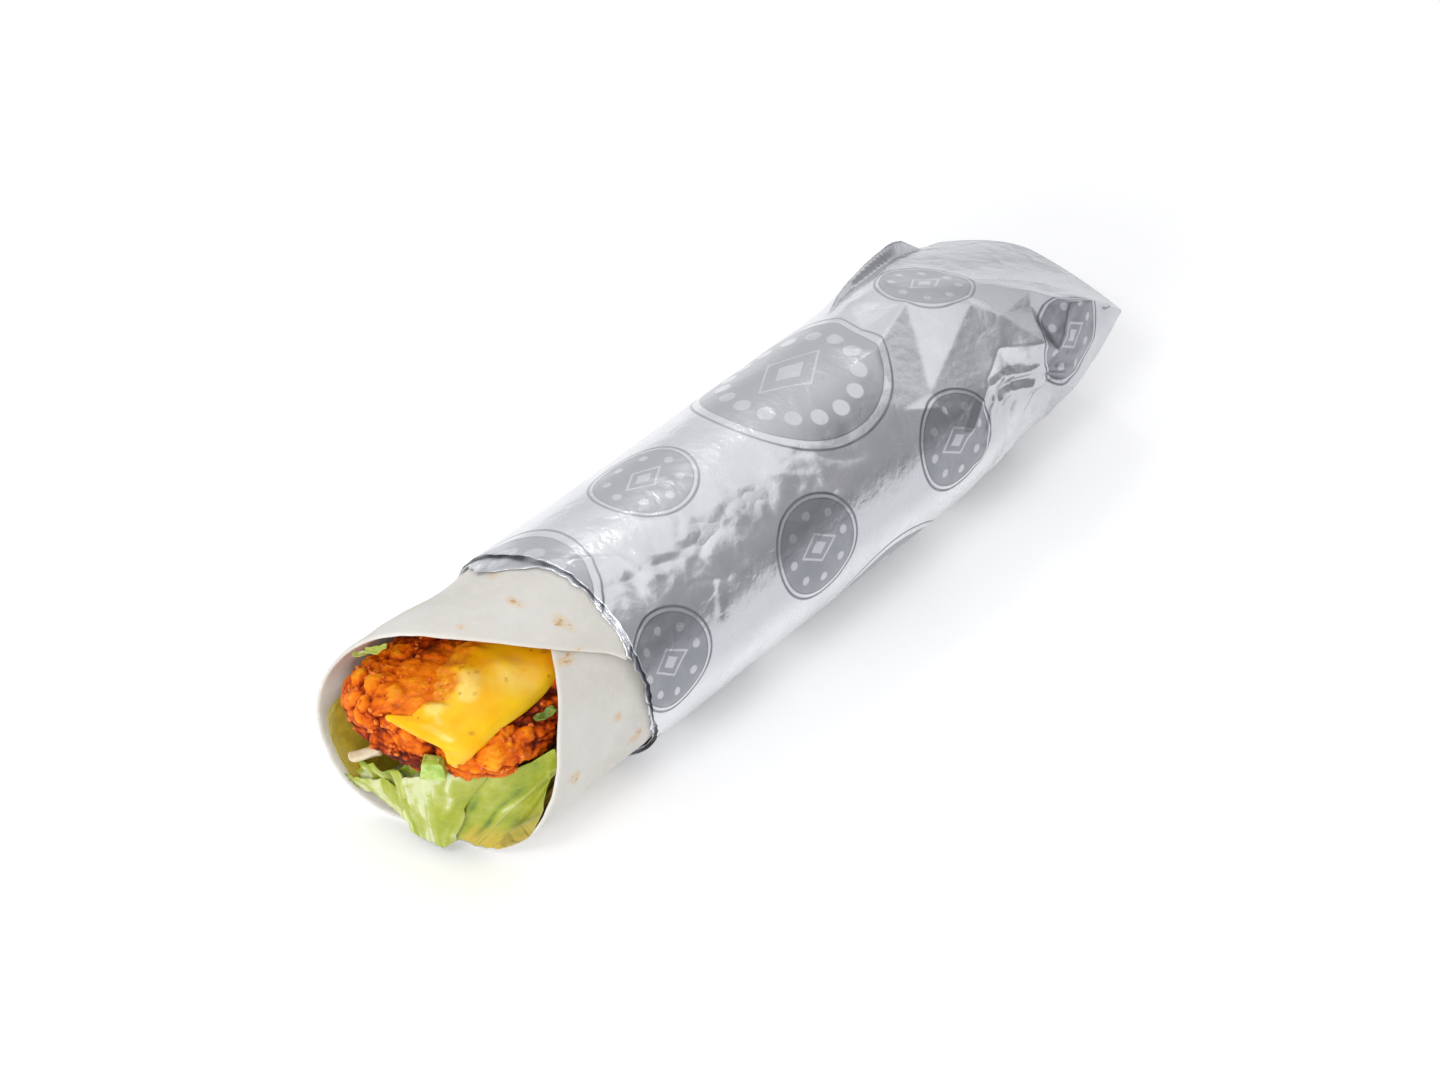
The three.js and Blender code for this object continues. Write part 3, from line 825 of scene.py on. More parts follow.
def foil_wrapper(look):
    shown = [np.arange(*span) for span in ((-24, 119, 1.0), (119, 162, 0.6), (162, 170, 1.0))]
    turns = np.sort(np.concatenate([*shown, np.linspace(170, 335, 60)]) % 360)
    degrees = np.concatenate([turns[turns >= SEAM], turns[turns < SEAM] + 360])
    if len(degrees) % 2:
        degrees = degrees[:-1]
    ys = np.concatenate([np.linspace(-56, 56, 150), np.linspace(56, RIDGE_Y, 118)[1:]])
    near_rim = np.linspace(0, 1, 18)[:-1]
    rim = rim_y(degrees) + 0.25 * wave(3, 8, degrees)
    relief = foil_relief(degrees, np.concatenate([-66 + 10 * near_rim, ys]))
    facet = faceted(degrees, ys)
    c, s = cos(degrees), sin(degrees)

    overlap = 0.35 * np.clip(1 - (degrees - SEAM) / 3, 0, 1)
    stand_off = 0.25 + 0.35 * np.clip(wave(14, 21, degrees, 3) + 0.3, 0, 1)
    stand_off = stand_off * rise(sin(degrees), -1.0, -0.7)
    edge = rim - lip(degrees)
    wrinkle = 0.16 * wave(5, 9, degrees, 5)
    rings, along = [], []

    def add(y, inset, out, lean=0.0):
        at = wrap_point(degrees, y, inset)
        rings.append(at + points(out * c + lean * s, 0, out * s - lean * c))
        along.append(float(np.mean(y)))

    for y in (CAVITY_Y, *range(92, 31, -6), 28, -10, INNER_Y):
        add(np.full_like(degrees, y), FOIL + pinched(degrees, y), 0)
    for share in (0.4, 0.8, 1.0):
        add(lerp(INNER_Y, edge, share), FOIL, -wrinkle * share)
    for share in (1.0, 0.75, 0.5, 0.25, 0.0, -0.6):
        add(lerp(rim + 1, edge, share), FOIL - 0.14, -wrinkle * np.clip(share, 0, 1))
    add(rim + 4.5, FOIL - 0.28, 0)
    add(rim + 0.4, 0.12, stand_off - 0.05)
    for number, share in enumerate(near_rim):
        y = lerp(rim, -56, share)
        add(y, 0, relief[:, number] + stand_off * (1 - share) ** 4 + overlap)
    for number, y in enumerate(ys):
        fold = ear(degrees, y)
        out = relief[:, len(near_rim) + number] + fold + overlap * rise(RIDGE_Y - y, 0, 12)
        add(np.full_like(degrees, y), 0, out, 0.5 * fold)
        rings[-1] += facet[:, number]
    u = np.append((degrees - SEAM) / 360, 1.0)
    v = (np.array(along) - RIM_Y) / (RIDGE_Y - RIM_Y)
    return skin("foil_wrapper", rings, look, u, v)


# ---------------------------------------------------------------- tortilla


def table(rows, place):
    return np.interp(place, *zip(*rows))


def smooth_table(rows, place):
    """Values of a table of (place, value) on a smooth curve."""
    return sum(table(rows, place + shift) for shift in (-9, -4.5, 0, 4.5, 9)) / 5


def flare(degrees, y):
    """How far the tortilla opens out towards its mouth, most on the left."""
    left = rise(-cos(degrees), 0.1, 0.7)
    return 0.7 * rise(-y, 72, 100) * (1 + 0.5 * left) - left * hump(y, -84, 9)


def lap_inset(roll):
    """The free edge's lap lies outside the rest of the roll, which draws in under it."""
    return (SHEET + GAP) * rise(roll, LAP_FROM, LAP_TO)


def mouth_y(roll):
    ragged = 0.35 * wave(21, 31, roll) + 0.12 * wave(5, 32, roll)
    return MOUTH_Y - smooth_table(MOUTH, roll) + ragged


def mouth_at(degrees):
    turn = degrees % 360
    return mouth_y(turn + 360 * (turn < FREE_EDGE))


def tortilla(look):
    close = np.array([0, 0.35, 0.9, 1.8])
    rolls = np.concatenate([FREE_EDGE + close, np.arange(35, 442, 2.0), LAP_END - close[::-1]])
    sides = rise(np.minimum(rolls - FREE_EDGE, LAP_END - rolls), -1.6, 1.8)
    edge = [(-0.75, 0.35), (-0.5, 0.72), (-0.15, 0.94), (0.4, 1.0)]
    rows = [(beyond, 0.0, full, None) for beyond, full in edge]
    rows += [(0.0, share, 1.0, None) for share in np.linspace(0.02, 1, 84)]
    rows += [(0.0, 0.0, 1.0, deep) for deep in (-30, -10, 10, *np.linspace(26, 92, 16))]

    def face(at, row, side):
        beyond, share, full, deep = row
        y = lerp(mouth_y(at) + beyond, INNER_Y, share) if deep is None else np.full_like(at, deep)
        thin = 0.55 + 0.45 * rise(y - mouth_y(at), 0, 7)
        at = at + 2.5 * rise(y, -98, -66) * fall(at, FREE_EDGE, 70)
        depth = 0.5 * thin + (0.5 - side) * full * sides * thin
        soft = 0.22 * wave(11, 41, at * 0.5, y) + 0.10 * wave(4, 42, at * 0.5, y, 7)
        calm = rise(INNER_Y - y, 0, 12)
        shrink = FOIL + GAP + pinched(at, y) + lap_inset(at) + depth * SHEET
        return wrap_point(at, y, shrink - flare(at, y) - soft * calm)

    piece = sheet_skin("rolled_tortilla", rolls, rows, face, look)
    painted(piece, toast=toast(own_places(piece)))
    return piece


# Toasted spots: angle, y, and radii across and along in millimetres
TOAST = [
    (94, -93.8, 1.3, 1.0), (88.4, -80.1, 2.4, 1.2), (66.5, -75.8, 2.2, 1.6),
    (62.0, -75.0, 2.0, 1.5), (50, -79.6, 1.3, 3.2), (-12.4, -69.2, 2.0, 2.0),
    (-7, -89.7, 2.2, 1.6), (112, -76.3, 1.2, 1.2), (30, -90, 0.9, 0.8), (140, -92, 2.2, 1.5),
    (168, -80, 2.0, 2.6), (186, -100, 1.6, 1.4), (205, -84, 2.4, 1.7), (236, -95, 1.8, 2.2),
    (262, -76, 2.6, 1.8), (290, -84, 1.7, 1.5), (312, -72, 2.1, 2.4), (332, -84, 1.4, 1.2),
    (8, -74, 1.0, 0.9), (152, -106, 1.2, 1.0),
]


def toast(at):
    """How toasted each point of the tortilla is, from 0 to 1."""
    x, y, z = at.T
    angle = np.degrees(np.arctan2(z - MIDDLE_Z, x))
    total = np.zeros(len(at))
    wander = 0.5 * waves(at, 2.2, 51)
    for turn, place, wide, long in TOAST:
        across = signed(angle - turn) * TURN_MM
        off = np.hypot(across / wide, (y - place) / long)
        total = np.maximum(total, fall(off + wander, 0.5, 1.35))
    return total


# ---------------------------------------------------------------- chicken fillet


def fullness(behind, nose):
    """The fillet's share of its full section, behind its rounded end."""
    opening = np.clip(1 - behind / nose, 0, 1) ** 1.25
    return np.sqrt(1 - opening * opening) ** 0.45


def fillet_scale(y):
    front = fullness(y - FILLET_FRONT, FILLET_NOSE)
    return np.minimum(front, fullness(FILLET_BACK - y, FILLET_NOSE))


def skewed(x, y):
    """The fillet's nose lies back on the right."""
    return y + SKEW * np.maximum(0, x - SKEW_FROM) * fall(y, -95, -20)


def fillet_half(x, y, scale=None):
    """Half the fillet's thickness at x."""
    scale = fillet_scale(y) if scale is None else scale
    rest = scale**FILLET_POWER - np.abs((x - FILLET_X) / FILLET_WIDE) ** FILLET_POWER
    return FILLET_TALL * np.maximum(rest, 0) ** (1 / FILLET_POWER)


BIG_CRAG, SMALL_CRAG, FINE_CRAG = 6.2, 2.5, 1.15  # millimetres across


def crags(at):
    """The breading's relief in millimetres, and its painted shade from 0 in a crack to 1 on a lump.
    """
    bent = at + 1.2 * np.stack([waves(at, 5, seed) for seed in (61, 62, 63)], -1)
    big_near, big_second = grains(bent, BIG_CRAG, 64)
    small_near, small_second = grains(bent + 0.4 * waves(at, 1.8, 65)[:, None], SMALL_CRAG, 66)
    fine_near, _ = grains(at, FINE_CRAG, 67)
    big = np.clip(1 - 1.3 * big_near**2, 0, 1)
    small = np.clip(1 - 1.5 * small_near**2, 0, 1)
    fine = np.clip(1 - 1.5 * fine_near**2, 0, 1)
    broken = rise(waves(at, 5, 69), -0.4, 0.3)
    crack = hump(big_second - big_near, 0, 0.12) * (0.4 + 0.6 * broken)
    cranny = hump(small_second - small_near, 0, 0.17) * (1 - 0.6 * broken)
    craggy = 0.35 + 0.65 * rise(waves(at, 6.5, 70), -0.5, 0.4)
    relief = 1.15 * big + 0.8 * small * craggy + 0.42 * fine - 0.6 * crack - 0.15 * cranny
    relief += 0.35 * waves(at, 12, 68) - 0.25
    shade = 0.30 + 0.20 * big + 0.28 * small * craggy + 0.22 * fine - 0.42 * crack - 0.2 * cranny
    for *middle, radius in LUMPS:
        off = np.linalg.norm(bent - middle, axis=1) / (radius * (1 + 0.22 * waves(at, 2.0, 59)))
        dome = np.sqrt(np.clip(1 - off**2, 0, 1))
        on_lump = rise(dome, 0.0, 0.5)
        relief = lerp(relief, 0.6 + 0.45 * radius * dome + 0.45 * small + 0.3 * fine, on_lump)
        ring = hump(off, 1.05, 0.13) * broken
        relief = relief - 0.3 * ring
        # Painted shade: lighter over a lump's dome and darker in the ring round it.
        shade = lerp(shade, 0.36 + 0.22 * dome + 0.2 * small + 0.2 * fine, on_lump) - 0.3 * ring
    return relief, shade


# Round lumps that stand out of the breading: middle and radius
LUMPS = [
    (-13.9, -110.8, 43.2, 2.9), (-12.2, -115.9, 41.4, 2.0), (-6.8, -110.4, 44.2, 2.3),
    (-18.6, -111.4, 41.5, 2.1), (20.6, -95.5, 39.1, 2.2), (17.9, -106.3, 37.5, 2.4),
]


def sauce_pool(at):
    """Where orange sauce lies between the breading's lumps, to the left of the cheese."""
    x, y, z = at.T
    ragged = 1.6 * waves(at, 4, 57)
    from_left = rise(x + ragged, -13, -7) * fall(x, 4, 12)
    return from_left * rise(y + ragged, -116, -110) * fall(y, -92, -84) * rise(z, 39, 43)


def chicken_fillet(look):
    turns = np.arange(0, 360, 1.25) + 0.6
    scales = np.linspace(0.04, 0.97, 42)
    opening = np.sqrt(1 - scales ** (2 / 0.45))
    nose = np.append(1 - opening**0.8, np.linspace(0.7, 1, 9)) * FILLET_NOSE
    shown, hidden = np.arange(FILLET_FRONT + 10, -66, 0.5), np.linspace(-65, 70, 24)
    ys = np.concatenate([FILLET_FRONT + nose, shown, hidden, FILLET_BACK - nose[::-6]])

    def power(v):
        return np.sign(v) * np.abs(v) ** (2 / FILLET_POWER)

    rings = []
    for y in ys:
        scale = fillet_scale(y)
        x = FILLET_X + (FILLET_WIDE - 0.5) * scale * power(cos(turns))
        z = FILLET_Z + (FILLET_TALL - 0.2) * scale * power(sin(turns))
        rings.append(points(draw_in(x, y), skewed(x, y), z))
    piece = skin("breaded_chicken", rings, look)
    at = own_places(piece)
    x, y, z = at.T
    relief, shade = crags(at)
    sauce = sauce_pool(at)
    pushed(piece, (relief - 1.0) * (1 - 0.45 * sauce))
    raised(piece, 2.4 * rise(-x, 3, 17) * fall(z, 26, 34) * fall(y, -104, -90))
    # Painted shade: the breading is darker low on its left underside.
    low = 0.46 * fall(z, 28, 36.5) * fall(x, 4, 14)
    # Painted shade: darker further inside the wrap, where the flap covers it, with random patches.
    tucked = 0.30 * rise(y, -104, -90) + 0.15 * waves(at, 8, 58)
    painted(piece, crag=shade + 0.2 * sauce - low - tucked, sauce=sauce)
    return piece


# ---------------------------------------------------------------- cheese slice

CHEESE_ROOM = 0.75  # between the slice and the breading's own round
CHEESE_TURN = 4.9  # degrees round the fillet's nose for each millimetre of the slice
# Low blisters and brown specks, as x, place and height or size. The first blisters carry a painted
# highlight
BLISTERS = [
    (4.6, -4.9, 1.1), (4.0, 5.7, 0.9), (6.2, 2.6, 0.8), (7.7, 0.5, 0.5), (6.5, 13, 0.8),
    (0.5, -7.5, 0.4),
]
MILKY_BLISTERS = 4
SPECKS = [
    (1, 7.75, 0.5), (4.5, 7.75, 0.45), (14, -7.5, 0.5), (6.25, 20.75, 0.7), (10.25, 21.75, 0.8),
    (8.5, 2.0, 0.35),
]
# Sauce stains: x, place and radius
STAINS = [(5.5, 6.5, 2.6), (2.5, 3.0, 2.2), (7.5, 15.5, 3.0), (3.5, 11.5, 2.6)]


def nose_reach(x, degrees):
    """How far the fillet reaches from the middle of its nose, 90 degrees being straight up."""
    low, high = np.zeros_like(x), np.full_like(x, 2 * FILLET_NOSE)
    for _ in range(24):
        reach = (low + high) / 2
        y = FILLET_FRONT + FILLET_NOSE - reach * cos(degrees)
        within = np.abs(reach * sin(degrees)) < fillet_half(x, y)
        low, high = np.where(within, reach, low), np.where(within, high, reach)
    return low


def cheese_point(x, place, lift):
    """place runs back from the top of the fillet's nose, and is negative down over the nose."""
    centre = FILLET_FRONT + FILLET_NOSE
    back = np.maximum(place, 0)
    degrees = 90 + np.minimum(place, 0) * CHEESE_TURN
    reach = nose_reach(x, degrees) + lift
    over = points(x, skewed(x, centre - reach * cos(degrees)), FILLET_Z + reach * sin(degrees))
    flat_y = centre + back
    height = FILLET_Z + fillet_half(x, flat_y) + lift
    flat = points(draw_in(x, flat_y), skewed(x, flat_y), height)
    return np.where((np.asarray(place) >= 0)[..., None], flat, over)


def cheese_slice(look):
    over, flat = np.linspace(CHEESE_TIP, 0, 56), np.linspace(0, 34, 60)
    rows = np.concatenate([over, flat[1:], np.linspace(38, CHEESE_BACK, 8)])
    across = np.linspace(0, 1, 64)
    front, back = rows[0], rows[-1]

    def sides(place):
        ragged = 0.9 * wave(3.6, 71, place) + 0.45 * wave(1.4, 72, place)
        left = table(CHEESE_LEFT, place) + ragged
        return left, table(CHEESE_RIGHT, place) + 0.15 * wave(7, 73, place)

    def face(at, row, side):
        left, right = sides(np.array(row))
        x = lerp(left, right, at)
        from_left, from_right = at * (right - left), (1 - at) * (right - left)
        edge = np.minimum(np.minimum(from_left, from_right), min(row - front, back - row) + 0.25)
        melted = lerp(0.45, 1, rise(from_left, 0, 8)) * lerp(0.55, 1, rise(from_right, 0, 5))
        thick = CHEESE_THICK * melted * np.sqrt(np.clip(edge, 0.03, 1))
        dips = 0.5 * wave(9, 74, x, row) + 0.25 * wave(4, 75, x, row)
        for blister_x, blister, high in BLISTERS:
            dips = dips + high * hump(np.hypot(x - blister_x, row - blister), 0, 3.0)
        lumps = (wave(2.6, 76, x, row) + 0.5 * wave(1.2, 77, x, row)) * (row > -6)
        dips = dips + 0.45 * lumps * fall(from_left, 3, 10)
        lift = CHEESE_ROOM + dips + side * thick - 0.9 * (1 - melted)
        sag = 0.7 * rise(1.5 - edge, 0, 1.5)
        return cheese_point(x, np.full_like(x, row), lift - sag)

    piece = sheet_skin("cheese_slice_melted", across, rows, face, look)
    u = np.tile(np.concatenate([across, across[::-1]]), len(rows))
    place = np.repeat(rows, 2 * len(across))
    left, right = sides(place)
    from_left = u * (right - left)
    x = lerp(left, right, u)

    def spots(listed, spare=0.0):
        return sum(hump(np.hypot(x - a, place - b), 0, size + spare) for a, b, size in listed)

    stain = 1.1 * fall(from_left, 1, 9) * rise(place, -7, 0) + 0.5 * spots(STAINS)
    stain += 0.3 * fall(from_left, 0, 2.5) + 0.35 * rise(place, 18, 24)
    stain += 0.5 * hump(u, 0.9, 0.12) * hump(place, 20, 5)
    # Painted light: highlights on the first blisters and a broad patch that brightens the cheese
    # where the flap shades it.
    milky = spots(BLISTERS[:MILKY_BLISTERS], 1.3) + 0.7 * spots([(10.2, 12.0, 6.5)])
    marks = {"stain": stain, "specks": 1.4 * spots(SPECKS), "milky": milky}
    painted(piece, **{name: np.clip(values, 0, 1) for name, values in marks.items()})
    return piece


# ---------------------------------------------------------------- lettuce


def heap_front(x):
    bend = np.where(x > -4, 0.024, -0.005)
    return LETTUCE_FRONT + bend * (x + 4) ** 2


def heap_low(x):
    wide, deep = WALL_WIDE - GAP, WALL_DEEP - GAP
    return np.maximum(WALL + GAP, MIDDLE_Z - deep * np.sqrt(np.clip(1 - (x / wide) ** 2, 0, 1)))


def heap_high(x):
    return FILLET_Z - fillet_half(x, -60.0, 1.0) - 1.2


def lettuce_core(look):
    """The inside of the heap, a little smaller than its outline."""
    columns = np.linspace(-1, 1, 60)
    rows = np.concatenate([[0, 0.01, 0.03], np.linspace(0.05, 0.3, 30), np.linspace(0.34, 1, 12)])

    def face(u, v, side):
        x = (LETTUCE_WIDE - 1.5) * u
        set_back = 4.0 + 2.5 * side + 9 * rise(-x, 2, 15) * (1 - side)
        y = lerp(heap_front(x) + set_back, LETTUCE_BACK, v)
        low, high = heap_low(x) + 0.8, heap_high(x) - 0.8
        end = 1 - 0.3 * (1 - np.clip(v / 0.06, 0, 1)) ** 2
        x = draw_in(x, y)
        at = points(x, y, lerp((low + high) / 2, high if side else low, end))
        under_lift = 2.2 * rise(-x, 3, 15) * fall(y, -104, -90)
        at[:, 2] += (0.5 * waves(at, 6, 81) + under_lift) * side
        return at

    piece = sheet_skin("lettuce_heap", columns, rows, face, look)
    at = own_places(piece)
    frill = 0.5 + 0.4 * waves(at, 7, 82)
    painted(piece, frill=frill, vein=0 * frill, mustard=0.6 * rise(at[:, 0], 12, 22))
    return piece


# The leaves fan out over the heap's front from a point below it. For directions from there, in
# degrees: how far off their near and far edges lie, and their shade from pale to deep green
FAN_X, FAN_Z = 5.0, -8.0
FAN = [
    (40, 17, 27, 0.50), (46, 16, 30, 0.56), (52, 15, 34, 0.62), (58, 14.2, 39, 0.60),
    (62, 14.5, 45, 0.60), (65, 15, 49, 0.62), (67, 15, 43, 0.58), (70, 14.6, 39.5, 0.54),
    (76, 12.6, 39, 0.42), (81, 11.9, 39, 0.30), (88, 11.6, 38, 0.16), (94, 11.8, 36, 0.12),
    (101, 12.6, 34, 0.26), (110, 13.0, 31.5, 0.34), (120, 15, 31, 0.24), (130, 18.5, 31.8, 0.14),
    (138, 22, 32, 0.22), (146, 28, 32, 0.45),
]


# A leaf's pleats: height, degrees apart, turns along and seed. Its ripples: height, size and seed
PLEATS = [(0.7, 9, 1.2, 3), (0.28, 3, 2.4, 14), (0.10, 1.1, 4, 15)]
RIPPLES = [(0.9, 6.0, 7), (0.5, 2.6, 8), (0.2, 1.2, 18)]


def over_rim(x, y, z):
    """Brings points that reach the tortilla's wall out in front of its rim, and on it."""
    turn = np.degrees(np.arctan2(z - MIDDLE_Z, x)) % 360
    out = np.maximum(np.hypot(x / WALL_WIDE, (z - MIDDLE_Z) / WALL_DEEP), 1e-6)
    on_rim = mouth_at(turn) - 0.7
    y = lerp(y, np.minimum(y, on_rim), rise(out, 0.90, 0.985) * (z < MIDDLE_Z))
    hang = 1.05 + 0.055 * rise(turn, 262, 290) * fall(turn, 322, 345)
    shrink = np.minimum(1, hang / out)
    return points(x * shrink, y, np.maximum(MIDDLE_Z + (z - MIDDLE_Z) * shrink, 1.0))


def fan_leaf(name, look, turns, stand, seed, fill=1.0, green_edge=0.0):
    """A pleated leaf between two of the fan's directions, standing in front of the heap."""
    across = np.linspace(-1, 1, 100)
    rows = np.linspace(0, 1, 64)
    ways, near_edge, far_edge, shades = zip(*FAN)
    lines = random.Random(seed)
    ribs = [(lines.uniform(*turns), lines.uniform(0.4, 0.9)) for _ in range(3)]

    def ribbed(way, t):
        spread = way + 1.5 * wave(0.5, seed + 5, t)
        return sum(hump(spread, at, narrow) for at, narrow in ribs)

    def face(a, t, side):
        way = lerp(turns[0], turns[1], (a + 1) / 2)
        way = way + 1.8 * wave(0.3, seed + 9, t) * a
        near = np.interp(way, ways, near_edge) + 0.5 * wave(3, seed + 1, way)
        far = np.interp(way, ways, far_edge) + 1.3 * wave(4, seed + 2, way)
        reach = lerp(near, lerp(near, far, fill), t)
        x = FAN_X + reach * cos(way)
        z = FAN_Z + reach * sin(way)
        flat = points(x, z, 0)
        bent = way + 5 * wave(1.0, seed + 13, t * 1.4, way / 30)
        pleats = 0
        for high, apart, turns_along, more in PLEATS:
            pleats = pleats + high * wave(1.0, seed + more, bent / apart, t * turns_along)
        curl = -(np.abs(a) ** 6) * 0.9 * waves(flat, 3.0, seed + 4)
        curl = curl - t**8 * waves(flat, 3.5, seed + 6)
        ripple = sum(high * waves(flat, size, seed + more) for high, size, more in RIPPLES)
        thin_sides = np.sqrt(np.clip(1 - a**10, 0.1, 1))
        thick = 0.5 * thin_sides * math.sqrt(max(1 - (2 * t - 1) ** 12, 0.1))
        y = heap_front(x) - stand - pleats * (0.5 + 0.5 * t) + curl + ripple * (0.4 + 0.6 * t)
        return over_rim(x, y - 0.15 * ribbed(way, t) + (side - 0.5) * thick, z)

    piece = sheet_skin(name, across, rows, face, look)
    at = own_places(piece)
    x, _, z = at.T
    way = np.degrees(np.arctan2(z - FAN_Z, x - FAN_X))
    reach = np.hypot(z - FAN_Z, x - FAN_X)
    t = np.repeat(rows, 2 * len(across))
    bent_way = way + 5 * waves(at, 7, seed + 17)
    streak = wave(1.0, seed + 10, bent_way / 3.2, reach / 14, seed)
    fine_streak = wave(1.0, seed + 16, way / 0.9, reach / 9, seed)
    tone = np.interp(way, ways, shades) + 0.34 * streak + 0.09 * fine_streak
    tone += 0.20 * waves(at, 4.5, seed + 11) + green_edge * rise(t, 0.8, 0.97)
    side_vein = np.abs((reach / 3.4 + way / 9 + 0.7 * waves(at, 3, seed + 12)) % 1 - 0.5)
    vein = np.maximum(ribbed(way, t) * 0.7, 0.25 * fall(side_vein, 0.02, 0.10)) + 0.1 * fine_streak
    low = fall(z + 1.5 * streak, 6, 13)
    mustard = np.maximum(fall(way + 4 * streak, 46, 60), low * fall(way, 66, 74))
    mustard = mustard * (0.75 + 0.2 * fine_streak)
    painted(piece, frill=np.clip(tone, 0, 1), vein=np.clip(vein, 0, 1), mustard=mustard)
    return piece


# Small torn bits of leaf: middle, the way each lies in degrees round Z, its length, its width and
# how green it is
LEAF_BITS = [
    ((-16.0, -107.4, 49.2), 45, 5.0, 2.2, 0.3),
    ((-20.6, -108.6, 45.0), 60, 3.2, 1.8, 0.2),
    ((20.4, -90.4, 41.0), 80, 5.5, 2.6, 1.1),
]


def leaf_bit(number, look, middle, turn, long, wide, green):
    across = np.linspace(-1, 1, 14)
    rows = np.linspace(-1, 1, 26)
    seed = 201 + 10 * number

    def face(a, b, side):
        along = b * long / 2
        off = a * wide / 2 * math.sqrt(1 - 0.8 * b * b) * (1 + 0.3 * wave(0.5, seed, b))
        flat = points(along, off, 0)
        z = 0.9 * waves(flat, 2.2, seed + 1) + 0.5 * a * a + (side - 0.5) * 0.4
        return spun(along, off, z, turn) + middle

    piece = sheet_skin(f"leaf_bit_{number}", across, rows, face, look)
    at = own_places(piece)
    frill = green + 0.2 * waves(at, 1.5, seed + 2)
    vein = 0.3 * rise(waves(at, 1.2, seed + 3), 0.2, 0.6)
    painted(piece, frill=frill, vein=vein, mustard=0 * frill)
    return piece


# ---------------------------------------------------------------- slices, strip, dice


def wall_slice(name, look, angle, span, back, thick, blunt):
    """A slice of pickle that lies along the inside of the tortilla, from its rim to back."""
    columns = np.linspace(-1, 1, 48)
    rows = np.sin(np.linspace(-math.pi / 2, math.pi / 2, 48))

    def face(u, v, side):
        half = span / 2 * max(1 - abs(v) ** blunt, 0.01) ** (1 / blunt)
        turn = angle + u * half
        y = lerp(mouth_at(turn) - 0.2, back, (v + 1) / 2) + 0.5 * wave(0.6, 91, u, v)
        round_edge = np.sqrt(np.clip(1 - np.maximum(np.abs(u), abs(v)) ** 6, 0.05, 1))
        bumps = 0.25 * wave(1.1, 92, u * 4, v * 4)
        depth = thick * (0.5 + (side - 0.5) * round_edge * (1 - 0.2 * u * u)) + bumps * side
        return wrap_point(turn, y, WALL + 0.4 + lap_inset(turn) + depth - flare(turn, y))

    piece = sheet_skin(name, columns, rows, face, look)
    a = np.tile(np.concatenate([columns, columns[::-1]]), len(rows))
    b = np.repeat(rows, 2 * len(columns))
    painted(piece, rind=rise(np.maximum(np.abs(a), np.abs(b)), 0.84, 0.97))
    return piece


ONION_FROM, ONION_TO = (-19.1, -116.5, 18.2), (-13.2, -111.0, 22.0)
ONION_SAG, ONION_WIDE, ONION_THICK = 0.75, 1.35, 0.95  # the last two are half sizes


def onion_strip(look):
    """A sliver that sags a little between its ends."""
    start, end = np.array(ONION_FROM), np.array(ONION_TO)
    run = (end - start) / np.linalg.norm(end - start)
    up = np.cross((1, 0, 0), run)
    up /= np.linalg.norm(up)
    side = np.cross(run, up)
    turns = np.linspace(0, 2 * math.pi, 24, endpoint=False)
    rings = []
    for t in np.linspace(0, 1, 40):
        middle = lerp(start, end, t) - (0, 0, 4 * ONION_SAG * t * (1 - t))
        end_round = math.sqrt(max(1 - (2 * t - 1) ** 10, 0.08)) * (1 + 0.5 * hump(t, 0.9, 0.1))
        wobble = 1 + 0.12 * wave(1.6, 95, np.cos(turns) * 2, np.sin(turns) * 2, t * 9)
        wide, thick = ONION_WIDE * end_round * wobble, ONION_THICK * end_round * wobble
        squared = np.abs(np.cos(turns)) ** 0.7 * np.sign(np.cos(turns))
        high = thick * np.sin(turns)
        rings.append(middle + side * (wide * squared)[:, None] + up * high[:, None])
    return skin("onion_sliver", np.array(rings), look)


DICE_SIZE, DICE_AT, DICE_TURN = (6.2, 3.4, 5.0), (7.8, -113.5, 33.0), 38
DICE_TOP = 0.76  # the top's width as a share of the bottom's


def dice(look):
    """A small dice of lettuce rib with softened corners."""
    size = np.array(DICE_SIZE) / 2
    turns = np.linspace(0, 2 * math.pi, 96, endpoint=False)
    c, s = np.cos(turns), np.sin(turns)
    square = 14  # the higher, the sharper the corners
    rounded = (np.abs(c) ** square + np.abs(s) ** square) ** (-1 / square)
    rings = []
    for t in np.linspace(-1, 1, 26):
        cap = max(1 - abs(t) ** 16, 1e-3) ** (1 / 16)
        narrow = lerp(1, DICE_TOP, (t + 1) / 2)
        rings.append(points(rounded * c * cap * narrow, rounded * s * cap, t) * size)
    at = np.array(rings)
    at += 0.16 * waves(at, 2.4, 97)[..., None]
    turned = spun(at[..., 0], at[..., 1], at[..., 2], DICE_TURN)
    return skin("lettuce_dice_green", turned + DICE_AT, look)


# ---------------------------------------------------------------- crumbs


